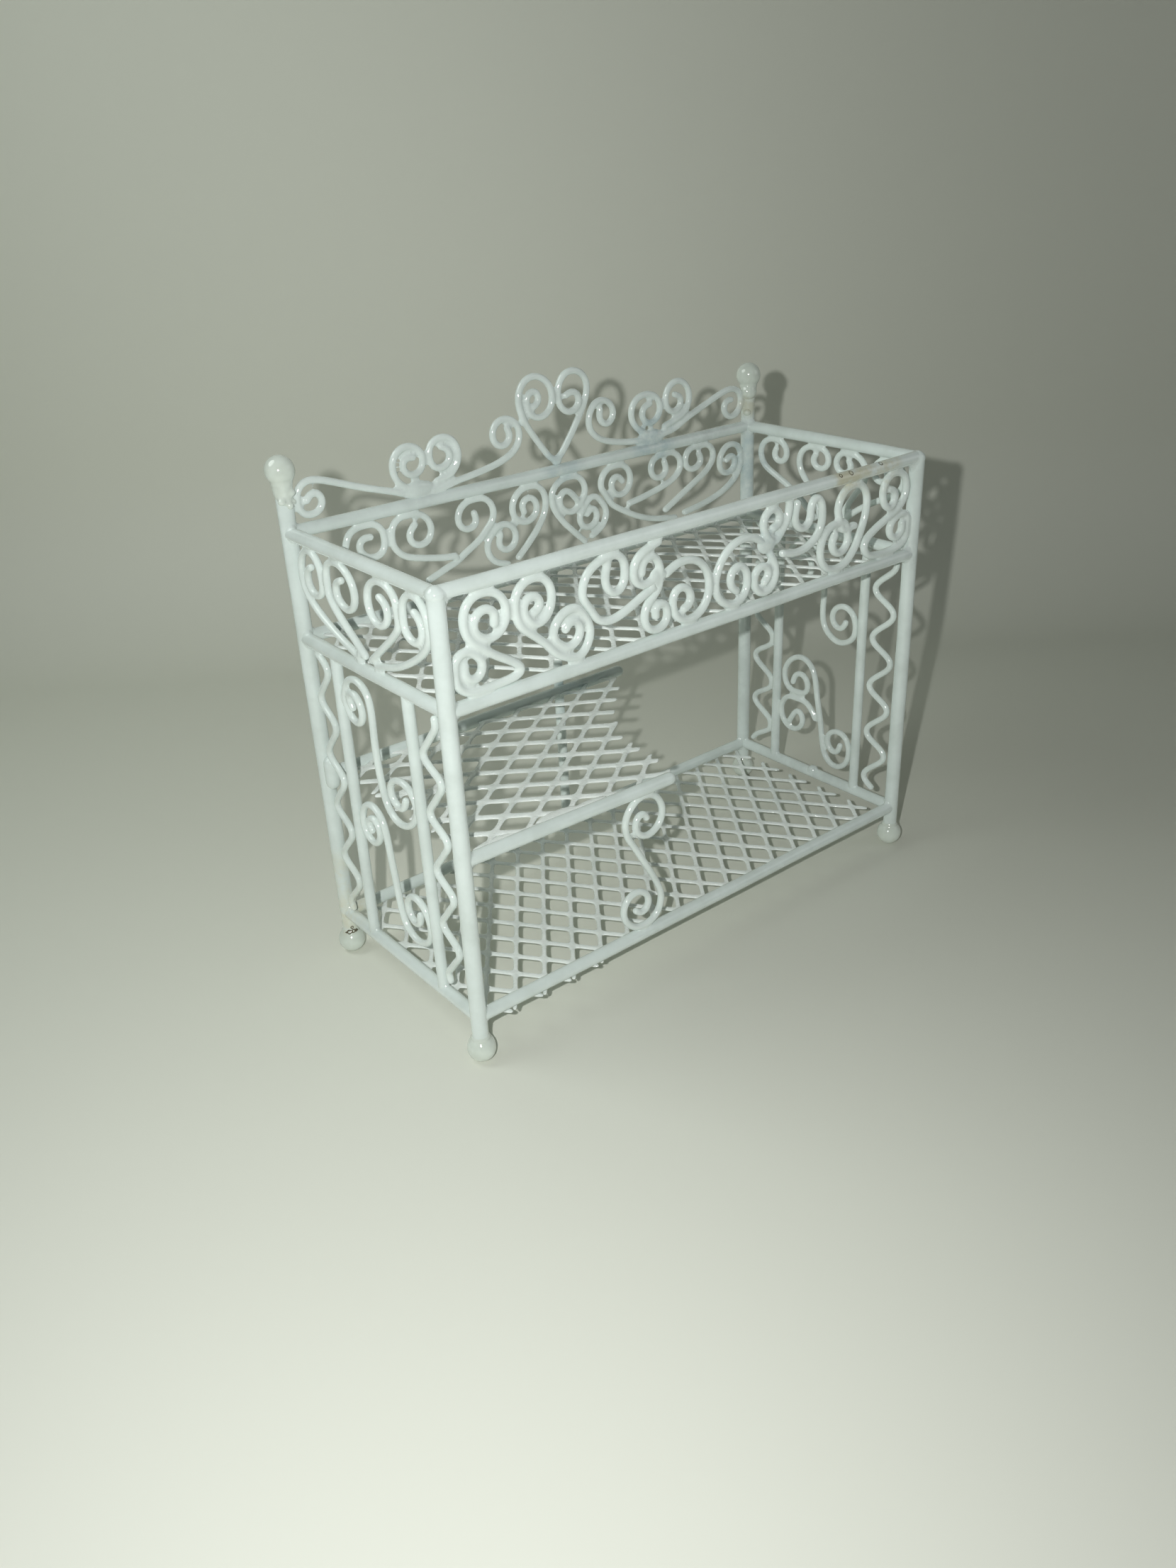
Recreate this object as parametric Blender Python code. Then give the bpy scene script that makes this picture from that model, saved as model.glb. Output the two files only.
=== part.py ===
"""Wirework nursery table for a dolls' house: a galleried tray on four posts over two mesh shelves.

The frame is soldered from straight wire, and every panel between the wires is filled with bent scrolls.
World axes: +X to the table's right, +Y to its back, +Z up, with the ground at z = 0 and the origin
under the middle of the table. The sizes below are in millimetres, and each panel is drawn flat:
u runs along the panel from its first post, and v is the height above the frame's datum.
"""
import math

import bpy
import bmesh
import numpy as np
from mathutils import Matrix, Vector

MM = 0.001

# Driving dimensions, in millimetres
WIDTH = 102.0            # left post to right post, centre to centre
DEPTH = 42.0             # front post to back post, centre to centre
DATUM = 0.28             # the frame's datum stands this far above the ground
POST_D = 2.4
RAIL_D = 2.1
BAR_D = 1.8              # inner uprights of the side and back panels
SCROLL_D = 1.1           # bent wire of the scrolls
SOLDER_GAP = 0.2         # room left at every soldered joint
BEAD_LAP = 0.22          # how far a bead of solder reaches past the gap that it closes
CREST_ROOM = 20.0        # height kept for the crest above the top rail
FOOT_D = 4.8
FINIAL_D = 4.8
FOOT_Z = 2.0             # heights above the datum, of the pieces' centres
BASE_Z = 8.0
MID_Z = 37.1
TRAY_Z = 61.1
TOP_Z = 78.6
FINIAL_Z = 88.4
MID_FRONT_LENGTH = 42.8  # the middle shelf's front rail is the short one
MID_BACK_LENGTH = 65.0
BAR_INSET = 9.9          # from each post to the nearest upright of a side panel
MESH_T = 0.5             # thickness of the expanded metal
STRAND_W = 0.95          # width of its broad strands
WEB_W = 0.7              # width of its narrow strands

WIRE_SIDES = 5
ROUND_SIDES = 10
TURN_STEP = 44.0         # a bent wire has a joint for each such turn, in degrees
LONG_STEP = 9.0          # and at least one each such length

ENAMEL = (0.78, 0.83, 0.79, 1.0)
ENAMEL_ROUGHNESS = 0.3


def clear_scene():
    for item in list(bpy.data.objects):
        bpy.data.objects.remove(item, do_unlink=True)


def enamel(name, shade=1.0):
    """The white dipped enamel, with its own material for each piece."""
    material = bpy.data.materials.new(name + "_enamel")
    material.use_nodes = True
    shader = material.node_tree.nodes["Principled BSDF"]
    shader.inputs["Base Color"].default_value = (*(c * shade for c in ENAMEL[:3]), 1.0)
    shader.inputs["Roughness"].default_value = ENAMEL_ROUGHNESS
    shader.inputs["Metallic"].default_value = 0.0
    return material


def finish(name, bm, sharp=50.0):
    """Turn a bmesh in millimetres into a named object at its real size."""
    bmesh.ops.recalc_face_normals(bm, faces=bm.faces)
    mesh = bpy.data.meshes.new(name)
    bm.to_mesh(mesh)
    bm.free()
    mesh.transform(Matrix.Scale(MM, 4))
    mesh.shade_smooth()
    mesh.set_sharp_from_angle(angle=math.radians(sharp))
    item = bpy.data.objects.new(name, mesh)
    bpy.context.scene.collection.objects.link(item)
    item.data.materials.append(enamel(name))
    return item


# ---------------------------------------------------------------- straight wires and balls

def world(x, y, v):
    """A point from the front left post's foot, with v above the datum."""
    return Vector((x - WIDTH / 2, y - DEPTH / 2, v + DATUM))


def rod(name, start, end, diameter, sides=ROUND_SIDES):
    """A straight round wire between two points."""
    start, end = Vector(start), Vector(end)
    run = end - start
    bm = bmesh.new()
    turn = run.to_track_quat("Z", "Y").to_matrix().to_4x4()
    bmesh.ops.create_cone(bm, cap_ends=True, segments=sides, radius1=diameter / 2, radius2=diameter / 2,
                          depth=run.length, matrix=Matrix.Translation((start + end) / 2) @ turn)
    return finish(name, bm)


def ball(name, centre, diameter, flat_at=None):
    """A solder ball, cut flat at the ground when flat_at is given."""
    bm = bmesh.new()
    bmesh.ops.create_uvsphere(bm, u_segments=12, v_segments=6, radius=diameter / 2,
                              matrix=Matrix.Translation(centre))
    if flat_at is not None:
        geometry = list(bm.verts) + list(bm.edges) + list(bm.faces)
        cut = bmesh.ops.bisect_plane(bm, geom=geometry, plane_co=(0, 0, flat_at), plane_no=(0, 0, -1),
                                     clear_outer=True)
        rim = [part for part in cut["geom_cut"] if isinstance(part, bmesh.types.BMEdge)]
        bmesh.ops.contextual_create(bm, geom=rim)
    return finish(name, bm)


def make_posts():
    corners = {"front_left": (0, 0), "front_right": (WIDTH, 0),
               "back_left": (0, DEPTH), "back_right": (WIDTH, DEPTH)}
    foot_top = FOOT_Z + FOOT_D / 2
    for corner, (x, y) in corners.items():
        at_back = corner.startswith("back")
        top = FINIAL_Z - FINIAL_D / 2 - SOLDER_GAP if at_back else TOP_Z + RAIL_D / 2
        rod("post_" + corner, world(x, y, foot_top + SOLDER_GAP), world(x, y, top), POST_D)
        ball("foot_" + corner, world(x, y, FOOT_Z), FOOT_D, flat_at=0.0)
        if at_back:
            ball("finial_" + corner, world(x, y, FINIAL_Z), FINIAL_D)


def make_rails():
    butt = POST_D / 2 + SOLDER_GAP
    for level, height in (("tray_top", TOP_Z), ("tray_floor", TRAY_Z), ("base", BASE_Z)):
        for side, y in (("front", 0), ("back", DEPTH)):
            rod(f"{level}_rail_{side}", world(butt, y, height), world(WIDTH - butt, y, height), RAIL_D)
        for side, x in (("left", 0), ("right", WIDTH)):
            rod(f"{level}_rail_{side}", world(x, butt, height), world(x, DEPTH - butt, height), RAIL_D)
    rod("mid_shelf_rail_front", world(butt, 0, MID_Z), world(MID_FRONT_LENGTH, 0, MID_Z), RAIL_D)


def make_bars():
    """The uprights inside the side panels, and the one in the middle of the back."""
    low = BASE_Z + RAIL_D / 2 + SOLDER_GAP
    high = TRAY_Z - RAIL_D / 2 - SOLDER_GAP
    for side, x in (("left", 0), ("right", WIDTH)):
        for place, y in (("front", BAR_INSET), ("back", DEPTH - BAR_INSET)):
            rod(f"side_bar_{side}_{place}", world(x, y, low), world(x, y, high), BAR_D)
    rod("back_centre_bar", world(WIDTH / 2, DEPTH, low), world(WIDTH / 2, DEPTH, high), BAR_D)
    rail_y = DEPTH - BAR_D / 2 - RAIL_D / 2 - SOLDER_GAP
    rod("mid_shelf_rail_back", world(POST_D / 2 + SOLDER_GAP, rail_y, MID_Z),
        world(MID_BACK_LENGTH, rail_y, MID_Z), RAIL_D)


# ---------------------------------------------------------------- bent wires

def curl(centre, start_radius, end_radius, start_angle, end_angle):
    """Points along a spiral, with the angles in degrees anticlockwise from +u."""
    count = max(3, round(abs(end_angle - start_angle) / 30.0))
    points = []
    for step in range(count + 1):
        share = step / count
        angle = math.radians(start_angle + (end_angle - start_angle) * share)
        radius = start_radius + (end_radius - start_radius) * share
        points.append((centre[0] + radius * math.cos(angle), centre[1] + radius * math.sin(angle)))
    return points


def wave(u_left, u_right, v_top, v_bottom, v_peak, lean, pitch=10.0):
    """Points of a serpentine wire that swings between two uprights on its way down; lean skews it."""
    middle, reach = (u_left + u_right) / 2, (u_right - u_left) / 2
    count = round((v_top - v_bottom) / pitch * 8)
    points = []
    for step in range(count + 1):
        v = v_top - (v_top - v_bottom) * step / count
        swing = 2 * math.pi * (v_peak - v) / pitch
        points.append((middle - reach * math.cos(swing + lean * math.cos(swing)), v))
    return points


def mirror(points, about):
    return [(2 * about - u, v) for u, v in points]


def smooth_path(points, spacing=0.5):
    """A Catmull-Rom curve through the points, read off at an even spacing."""
    knots = np.array(points, float)
    knots = np.vstack([2 * knots[0] - knots[1], knots, 2 * knots[-1] - knots[-2]])
    dense = []
    for p0, p1, p2, p3 in zip(knots, knots[1:], knots[2:], knots[3:]):
        for t in np.linspace(0, 1, 12, endpoint=False):
            dense.append(0.5 * (2 * p1 + (p2 - p0) * t + (2 * p0 - 5 * p1 + 4 * p2 - p3) * t * t
                                + (3 * p1 - p0 - 3 * p2 + p3) * t ** 3))
    dense.append(knots[-2])
    dense = np.array(dense)
    reach = np.concatenate([[0], np.cumsum(np.linalg.norm(np.diff(dense, axis=0), axis=1))])
    marks = np.linspace(0, reach[-1], max(4, round(reach[-1] / spacing)) + 1)
    return np.column_stack([np.interp(marks, reach, dense[:, axis]) for axis in (0, 1)])


def settle(wires, box, spacing=0.5, rounds=160):
    """Ease neighbouring wires apart until each keeps its solder gap, inside the panel's box."""
    clear = SCROLL_D + SOLDER_GAP
    paths = [smooth_path(points, spacing) for points in wires]
    owner = np.concatenate([np.full(len(path), n) for n, path in enumerate(paths)])
    index = np.concatenate([np.arange(len(path)) for path in paths])
    far_along = np.abs(index[:, None] - index[None, :]) * spacing > 2.2 * clear
    rivals = (owner[:, None] != owner[None, :]) | far_along
    edge = SCROLL_D / 2 + SOLDER_GAP
    low = np.array([box[0] + edge, box[2] + edge])
    high = np.array([box[1] - edge, box[3] - edge])
    spots = np.vstack(paths)
    starts = np.cumsum([0] + [len(path) for path in paths])
    for step in range(rounds):
        spots = np.clip(spots, low, high)
        apart = spots[:, None, :] - spots[None, :, :]
        distance = np.linalg.norm(apart, axis=2) + 1e-9
        short = np.where(rivals & (distance < clear), clear - distance, 0.0)
        push = (apart / distance[..., None] * short[..., None])
        crowd = np.maximum(1.0, (short > 0).sum(axis=1) * 0.5)
        move = 0.5 * push.sum(axis=1) / crowd[:, None]
        for first, last in zip(starts, starts[1:]):
            part = move[first:last]
            for _ in range(3 if step < rounds * 0.75 else 1):
                padded = np.vstack([part[:1], part, part[-1:]])
                part = 0.25 * padded[:-2] + 0.5 * padded[1:-1] + 0.25 * padded[2:]
            move[first:last] = part * 1.6
        spots = spots + move
    spots = np.clip(spots, low, high)
    return [spots[first:last] for first, last in zip(starts, starts[1:])]


def thin_out(path):
    """Keep only the joints that the bends need."""
    kept, turned, run = [0], 0.0, 0.0
    for k in range(1, len(path) - 1):
        before, after = path[k] - path[k - 1], path[k + 1] - path[k]
        cross = before[0] * after[1] - before[1] * after[0]
        turned += abs(math.degrees(math.atan2(cross, float(before @ after))))
        run += float(np.linalg.norm(before))
        if turned >= TURN_STEP * 0.85 or run >= LONG_STEP:
            kept.append(k)
            turned, run = 0.0, 0.0
    kept.append(len(path) - 1)
    if len(kept) > 2 and kept[-1] - kept[-2] < 2:
        kept.pop(-2)
    return path[kept]


def tube(path, place, normal, diameter):
    """A bent wire along a flat path: rings of WIRE_SIDES corners, mitred at each joint and capped."""
    joints = [place(u, v) for u, v in path]
    bm = bmesh.new()
    rings = []
    for k, joint in enumerate(joints):
        before = (joint - joints[k - 1]).normalized() if k else None
        after = (joints[k + 1] - joint).normalized() if k + 1 < len(joints) else None
        along = ((before or after) + (after or before)).normalized()
        across = along.cross(normal).normalized()
        mitre = 1.0 / max(0.8, abs(along.dot(before or after)))
        ring = []
        for corner in range(WIRE_SIDES):
            angle = 2 * math.pi * corner / WIRE_SIDES
            offset = across * math.cos(angle) * mitre + normal * math.sin(angle)
            ring.append(bm.verts.new(joint + offset * diameter / 2))
        rings.append(ring)
    for first, second in zip(rings, rings[1:]):
        for corner in range(WIRE_SIDES):
            after = (corner + 1) % WIRE_SIDES
            bm.faces.new((first[corner], first[after], second[after], second[corner]))
    bm.faces.new(rings[0])
    bm.faces.new(rings[-1])
    return bm


def join(target, other, operation="UNION"):
    """Boolean of two closed objects; the second is used up."""
    modifier = target.modifiers.new(operation.lower(), "BOOLEAN")
    modifier.operation = operation
    modifier.solver = "EXACT"
    modifier.object = other
    result = bpy.data.meshes.new_from_object(target.evaluated_get(bpy.context.evaluated_depsgraph_get()))
    target.modifiers.clear()
    old, target.data = target.data, result
    result.name = target.name
    bpy.data.meshes.remove(old)
    bpy.data.objects.remove(other, do_unlink=True)


def solder(target, first, second, place):
    """Join two wires of one node with a bead of solder where they run closest."""
    gaps = np.linalg.norm(first[:, None, :] - second[None, :, :], axis=2)
    k, n = np.unravel_index(np.argmin(gaps), gaps.shape)
    spot = (first[k] + second[n]) / 2
    bm = bmesh.new()
    radius = gaps[k, n] / 2 + BEAD_LAP
    bmesh.ops.create_icosphere(bm, subdivisions=1, radius=radius, matrix=Matrix.Translation(place(*spot)))
    join(target, finish("bead", bm))


def panel(groups, box, place, normal):
    """Build the scroll nodes of one flat panel; a group's wires are soldered into one node."""
    wires = [wire for group in groups.values() for wire in group]
    paths = iter(settle(wires, box))
    for name, group in groups.items():
        own = [next(paths) for _ in group]
        target = finish(name, tube(thin_out(own[0]), place, normal, SCROLL_D))
        for before, path in zip(own, own[1:]):
            join(target, finish("wire", tube(thin_out(path), place, normal, SCROLL_D)))
            solder(target, before, path, place)
        target.data.shade_smooth()
        target.data.set_sharp_from_angle(angle=math.radians(50.0))


def front_place(u, v):
    return world(u, 0, v)


def back_place(u, v):
    return world(u, DEPTH, v)


def left_place(u, v):
    return world(0, u, v)


def right_place(u, v):
    return world(WIDTH, u, v)


FRONT_GALLERY = {
    "front_scroll_1": [
        [(9.1, 72.0), (9.3, 73.6), (7.9, 74.6), (6.3, 74.2), (5.5, 72.6), (6.1, 70.8), (7.9, 69.9),
         (9.9, 70.4), (11.1, 72.0), (11.2, 74.3), (10.0, 76.2), (7.9, 77.0), (5.9, 76.7), (4.4, 75.2), (4.0, 73.0),
         (4.6, 70.9), (6.2, 69.2), (9.2, 67.1), (12.2, 65.2), (13.5, 63.8), (11.5, 63.0), (8.0, 62.9),
         (4.4, 62.9), (2.3, 64.1), (1.6, 66.4), (2.3, 68.5), (4.2, 69.3), (6.0, 68.3), (6.6, 66.4),
         (5.8, 64.9), (4.4, 64.7), (3.4, 65.8), (3.6, 67.2)],
        [(16.0, 71.8), (17.2, 72.2), (17.3, 73.5), (16.1, 74.4), (14.7, 74.0), (14.0, 72.4), (14.8, 70.6),
         (16.5, 69.9), (18.3, 70.7), (19.4, 72.6), (19.3, 75.0), (17.8, 76.7), (15.6, 77.0), (13.6, 76.0),
         (12.7, 73.8), (13.4, 71.3), (15.0, 69.2), (17.6, 66.8), (19.9, 64.8), (21.9, 63.3), (24.2, 62.9),
         (26.0, 64.9), (26.3, 67.6), (25.3, 69.9), (22.9, 70.8), (20.6, 70.0), (19.2, 67.9), (19.7, 65.9),
         (21.5, 64.8), (23.4, 65.2), (24.4, 66.9), (23.7, 68.6), (22.2, 68.9), (21.5, 67.8)]],
    "front_scroll_2": [
        [(29.9, 75.8), (29.3, 73.7), (29.8, 71.8), (31.3, 70.9), (32.9, 71.8), (33.4, 73.8), (33.0, 75.9),
         (31.2, 77.0), (28.4, 76.6), (26.0, 75.2), (25.0, 72.8), (25.3, 70.3), (26.8, 68.2), (28.8, 67.1),
         (31.0, 67.0), (34.0, 68.0), (37.0, 69.2), (38.8, 69.9)]],
    "front_scroll_3": [
        [(40.0, 77.0), (37.4, 76.2), (35.4, 74.8), (34.9, 72.8), (35.8, 71.2), (37.6, 70.7), (39.0, 71.2)],
        [(36.6, 72.8), (36.8, 74.6), (38.6, 75.2), (40.2, 73.4), (40.4, 71.0), (39.5, 69.0), (37.6, 67.4),
         (36.9, 65.4), (37.6, 63.6), (39.5, 62.9), (41.4, 63.8), (41.9, 65.8), (40.7, 67.1), (39.2, 66.6),
         (39.3, 65.2)]],
    "front_scroll_4": [
        [(41.4, 71.5), (43.8, 72.6), (46.4, 72.7), (48.9, 71.6), (50.6, 69.3), (50.8, 66.5), (49.7, 64.3),
         (47.6, 63.0), (45.2, 63.0), (43.3, 64.3), (42.8, 66.4), (43.7, 68.3), (45.4, 68.5), (46.7, 67.2),
         (46.5, 65.4), (45.2, 64.9)],
        [(63.4, 71.4), (61.2, 72.8), (58.4, 73.4), (55.6, 72.7), (53.4, 70.6), (52.2, 67.4), (52.8, 64.8),
         (54.6, 63.2), (56.9, 62.9), (58.8, 64.0), (59.5, 66.1), (59.0, 68.2), (57.3, 69.1), (55.7, 68.0),
         (55.6, 66.0), (56.8, 65.0)]],
    "front_scroll_5": [
        [(64.8, 71.6), (63.2, 73.2), (62.8, 75.0), (63.8, 76.5), (65.6, 76.8), (66.9, 75.6), (66.6, 73.9),
         (65.3, 73.6)],
        [(66.1, 71.4), (67.5, 73.0), (68.7, 74.8), (69.0, 76.9)],
        [(64.6, 69.4), (65.8, 67.4), (66.0, 65.2), (64.9, 63.4), (62.9, 63.0), (61.3, 64.4), (61.1, 66.4),
         (62.3, 67.8), (63.9, 67.4), (64.5, 65.9), (63.4, 64.9)]],
    "front_scroll_6": [
        [(70.8, 76.6), (70.3, 74.4), (71.2, 72.5), (73.0, 71.9), (74.4, 73.2), (74.3, 75.2), (75.2, 76.8),
         (76.7, 75.9), (77.2, 73.6), (76.9, 71.2), (75.4, 69.3), (73.0, 68.3), (70.4, 68.2), (67.6, 68.8)],
        curl((85.0, 73.3), 3.7, 3.9, -80, -360)
        + [(88.5, 70.7), (87.2, 67.9), (85.7, 65.3), (83.7, 63.4), (81.2, 62.9), (78.8, 63.6), (77.3, 65.5),
           (77.1, 68.0), (78.3, 70.2), (80.6, 71.1), (83.0, 70.4), (84.2, 68.5), (83.9, 66.5), (82.3, 65.5),
           (80.5, 66.1), (79.8, 67.7), (80.6, 69.1)]],
    "front_scroll_7": [
        [(94.5, 74.3), (95.9, 74.0), (96.5, 72.4), (95.2, 70.8), (93.6, 71.6), (92.9, 73.6), (93.6, 75.8),
         (95.6, 77.0), (98.0, 76.6), (99.3, 74.9), (99.2, 72.6), (97.8, 70.7), (95.4, 69.4), (92.0, 68.0),
         (89.4, 66.7), (88.4, 65.2), (89.5, 63.6), (92.0, 63.0), (96.0, 62.9), (99.0, 63.4), (100.9, 65.2),
         (101.0, 67.4), (99.8, 69.0), (97.6, 69.2), (95.8, 68.0), (95.6, 66.0), (97.2, 64.9), (98.9, 65.8),
         (98.8, 67.4)]],
}

BACK_GALLERY = {
    "back_scroll_1": [
        [(9.3, 74.0), (10.2, 76.1), (12.6, 77.1), (15.2, 76.8), (16.7, 75.3), (16.9, 73.3), (15.9, 71.7),
         (14.2, 71.3), (12.5, 72.1), (11.8, 73.6), (12.7, 74.9), (14.2, 74.8)],
        [(22.8, 75.1), (21.6, 74.0), (21.6, 72.4), (23.2, 71.4), (25.0, 71.8), (26.0, 73.5), (25.4, 75.6),
         (23.4, 76.9), (20.6, 77.1), (18.6, 76.0), (17.8, 73.8), (18.7, 71.6), (20.6, 70.0), (24.0, 69.0),
         (28.0, 68.2), (30.2, 67.8)]],
    "back_scroll_2": [
        [(24.4, 65.0), (28.0, 66.2), (31.5, 67.6), (35.0, 69.3), (37.6, 71.1), (38.8, 73.2), (38.6, 75.4),
         (36.9, 76.9), (34.4, 77.1), (32.2, 76.0), (31.4, 74.2), (32.0, 72.5), (33.8, 72.0), (35.2, 73.0),
         (34.8, 74.6)],
        [(43.6, 64.7), (46.0, 66.8), (48.5, 69.2), (50.1, 71.6), (50.5, 74.0), (49.4, 76.2), (47.2, 77.1),
         (44.6, 76.5), (43.1, 74.6), (43.2, 72.3), (44.9, 70.8), (47.0, 70.9), (48.4, 72.4), (47.9, 74.4),
         (46.3, 75.1), (45.0, 74.0), (45.5, 72.6)],
        [(41.2, 64.0), (38.6, 64.9), (37.2, 66.7), (37.2, 69.0), (38.6, 71.0), (41.0, 71.4), (42.9, 70.3),
         (43.4, 68.3), (42.3, 66.7), (40.6, 66.6), (39.5, 68.0), (40.0, 69.7)]],
    "back_scroll_3": [
        [(59.0, 64.3), (56.4, 66.7), (53.8, 69.4), (52.1, 72.2), (51.9, 74.6), (53.5, 76.4), (56.2, 77.1),
         (58.6, 76.2), (59.7, 74.0), (59.2, 71.8), (57.4, 70.4), (55.2, 70.6), (53.6, 72.0), (53.6, 73.8),
         (55.0, 74.7), (56.6, 73.6), (57.6, 72.4)],
        [(60.8, 64.9), (63.2, 66.2), (64.4, 68.2), (64.3, 70.3), (62.8, 72.0), (60.4, 72.2), (58.6, 70.9),
         (57.9, 68.9), (58.7, 67.1), (60.6, 66.7), (62.1, 67.8), (62.1, 69.5), (60.8, 70.3), (59.9, 69.2)]],
    "back_scroll_4": [
        [(82.0, 64.0), (77.0, 64.8), (72.5, 66.2), (68.0, 68.5), (65.0, 70.6), (63.4, 73.0), (63.6, 75.4),
         (65.6, 77.0), (68.4, 77.0), (70.4, 75.4), (70.7, 73.2), (69.4, 71.5), (67.4, 71.3), (65.9, 72.6),
         (66.0, 74.4), (67.5, 75.0), (68.6, 73.8)],
        [(70.2, 69.2), (74.0, 69.7), (78.0, 70.6), (81.6, 71.8), (83.5, 73.6), (83.3, 75.6), (81.3, 77.0),
         (78.6, 77.1), (76.3, 76.2), (75.7, 74.4), (76.6, 72.9), (78.5, 72.6), (79.9, 73.7), (79.4, 75.4)]],
    "back_scroll_5": [
        [(79.4, 66.1), (83.0, 67.9), (87.0, 69.8), (90.4, 71.6), (92.2, 73.6), (92.0, 75.8), (90.0, 77.1),
         (87.2, 77.1), (85.2, 76.0), (84.8, 74.0), (86.0, 72.7), (87.8, 72.8), (89.1, 74.0), (88.4, 75.4)],
        [(84.6, 64.5), (89.0, 65.1), (94.0, 66.4), (98.0, 68.4), (100.1, 71.0), (100.2, 73.6), (98.6, 75.5),
         (96.0, 75.6), (94.3, 73.9), (94.2, 71.6), (95.8, 70.1), (98.0, 70.6), (98.6, 72.4), (97.3, 73.6),
         (96.0, 72.8)]],
}

CREST = {
    "crest_scroll_left": [
        [(21.0, 80.9), (17.0, 82.1), (13.0, 83.4), (9.0, 84.9), (6.0, 85.9), (3.7, 86.0), (2.3, 84.6),
         (2.1, 82.4), (3.2, 80.8), (5.2, 80.7), (6.5, 82.0), (6.1, 83.7), (4.6, 84.1), (3.7, 83.0)],
        [(22.6, 81.0), (20.6, 82.5), (19.7, 84.5), (20.0, 86.7), (21.8, 88.1), (24.1, 87.9), (25.7, 86.4),
         (25.6, 84.5), (24.2, 83.3), (22.4, 83.6), (21.5, 85.0), (22.2, 86.4), (23.7, 86.2)],
        [(28.0, 80.9), (30.6, 81.9), (32.3, 83.8), (32.6, 86.0), (31.4, 88.0), (29.2, 88.5), (27.3, 87.5),
         (26.8, 85.5), (27.6, 83.8), (29.3, 83.5), (30.8, 84.5), (30.8, 86.2), (29.3, 87.0)],
        [(27.0, 80.4), (32.0, 80.8), (37.0, 81.4), (41.5, 82.4), (44.5, 84.0), (45.6, 86.2), (45.0, 88.3),
         (43.0, 89.4), (40.8, 88.9), (39.8, 87.0), (40.6, 85.2), (42.4, 84.9), (43.6, 86.3), (43.0, 87.8)]],
    "crest_heart": [
        [(48.8, 90.4), (50.2, 91.2), (49.8, 92.9), (48.2, 93.0), (47.5, 91.4), (48.0, 89.5), (49.5, 88.4),
         (51.4, 88.6), (52.8, 90.0), (53.1, 92.2), (52.1, 94.3), (49.8, 95.5), (47.6, 95.1), (46.1, 93.4),
         (45.8, 91.1), (46.6, 88.5), (48.4, 85.8), (50.6, 82.9), (52.2, 80.9), (53.2, 80.5), (54.2, 81.0),
         (56.2, 83.5), (58.6, 86.7), (60.4, 89.6), (61.1, 92.2), (60.3, 94.2), (58.4, 95.3), (56.1, 95.1),
         (54.7, 93.3), (54.4, 91.0), (55.3, 89.1), (57.1, 88.2), (58.9, 89.2), (59.0, 90.9), (57.6, 91.9),
         (56.1, 91.3)]],
    "crest_scroll_right": [
        [(74.5, 80.4), (70.0, 80.8), (65.5, 81.7), (62.4, 83.2), (61.0, 85.4), (61.6, 87.9), (63.4, 89.3),
         (65.9, 88.8), (67.1, 86.9), (66.3, 85.1), (64.6, 84.9), (63.5, 86.3), (63.8, 87.8)],
        [(74.6, 81.6), (72.6, 82.9), (71.3, 85.0), (71.7, 87.3), (73.5, 88.6), (76.2, 88.6), (78.1, 87.2),
         (78.5, 85.2), (77.2, 83.5), (75.2, 83.4), (73.9, 84.7), (74.2, 86.4), (75.8, 86.9)],
        [(79.6, 81.9), (83.0, 82.9), (85.4, 84.6), (86.1, 87.0), (85.0, 89.2), (82.7, 90.1), (80.5, 89.1),
         (79.7, 87.0), (80.4, 85.1), (82.2, 84.4), (83.8, 85.4), (83.8, 87.0), (82.2, 87.6)],
        [(78.0, 80.7), (82.0, 81.7), (86.0, 83.0), (90.0, 84.5), (94.0, 85.9), (97.2, 86.5), (99.5, 85.6),
         (100.1, 83.5), (98.9, 81.6), (96.8, 81.1), (95.2, 82.4), (95.5, 84.2), (97.2, 84.4)]],
}

# The side galleries: four crooks fan out from the middle of the lower rail
LEFT_OUTER_CROOK = [(23.6, 62.9), (30.0, 64.6), (35.8, 67.6), (39.1, 70.6), (39.5, 74.0), (37.8, 76.5),
                    (35.0, 76.9), (32.8, 75.0), (32.4, 72.4), (33.9, 70.3), (36.0, 69.8), (37.7, 71.3),
                    (37.3, 73.5), (35.8, 74.4)]
LEFT_INNER_CROOK = [(22.1, 63.4), (25.5, 66.0), (29.2, 69.0), (31.4, 71.4), (31.6, 74.2), (30.0, 76.4),
                    (26.6, 76.9), (23.6, 75.4), (22.8, 72.8), (24.0, 70.5), (26.4, 69.9), (28.5, 71.4),
                    (28.2, 73.6), (26.4, 74.4)]
RIGHT_OUTER_CROOK = [(23.4, 63.2), (26.5, 65.8), (30.3, 68.2), (34.0, 70.0), (36.9, 71.5), (38.2, 73.8),
                     (37.4, 76.0), (35.0, 77.0), (32.4, 76.7), (31.0, 75.0), (31.6, 73.2), (33.3, 72.8),
                     (34.6, 74.0), (34.0, 75.2)]
RIGHT_INNER_CROOK = [(21.8, 63.4), (23.2, 66.4), (25.2, 69.4), (27.2, 71.8), (27.8, 74.2), (26.6, 76.3),
                     (24.0, 77.0), (21.4, 76.6), (20.3, 74.8), (21.3, 73.2), (23.1, 73.1), (24.4, 74.4),
                     (23.6, 75.6)]
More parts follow.
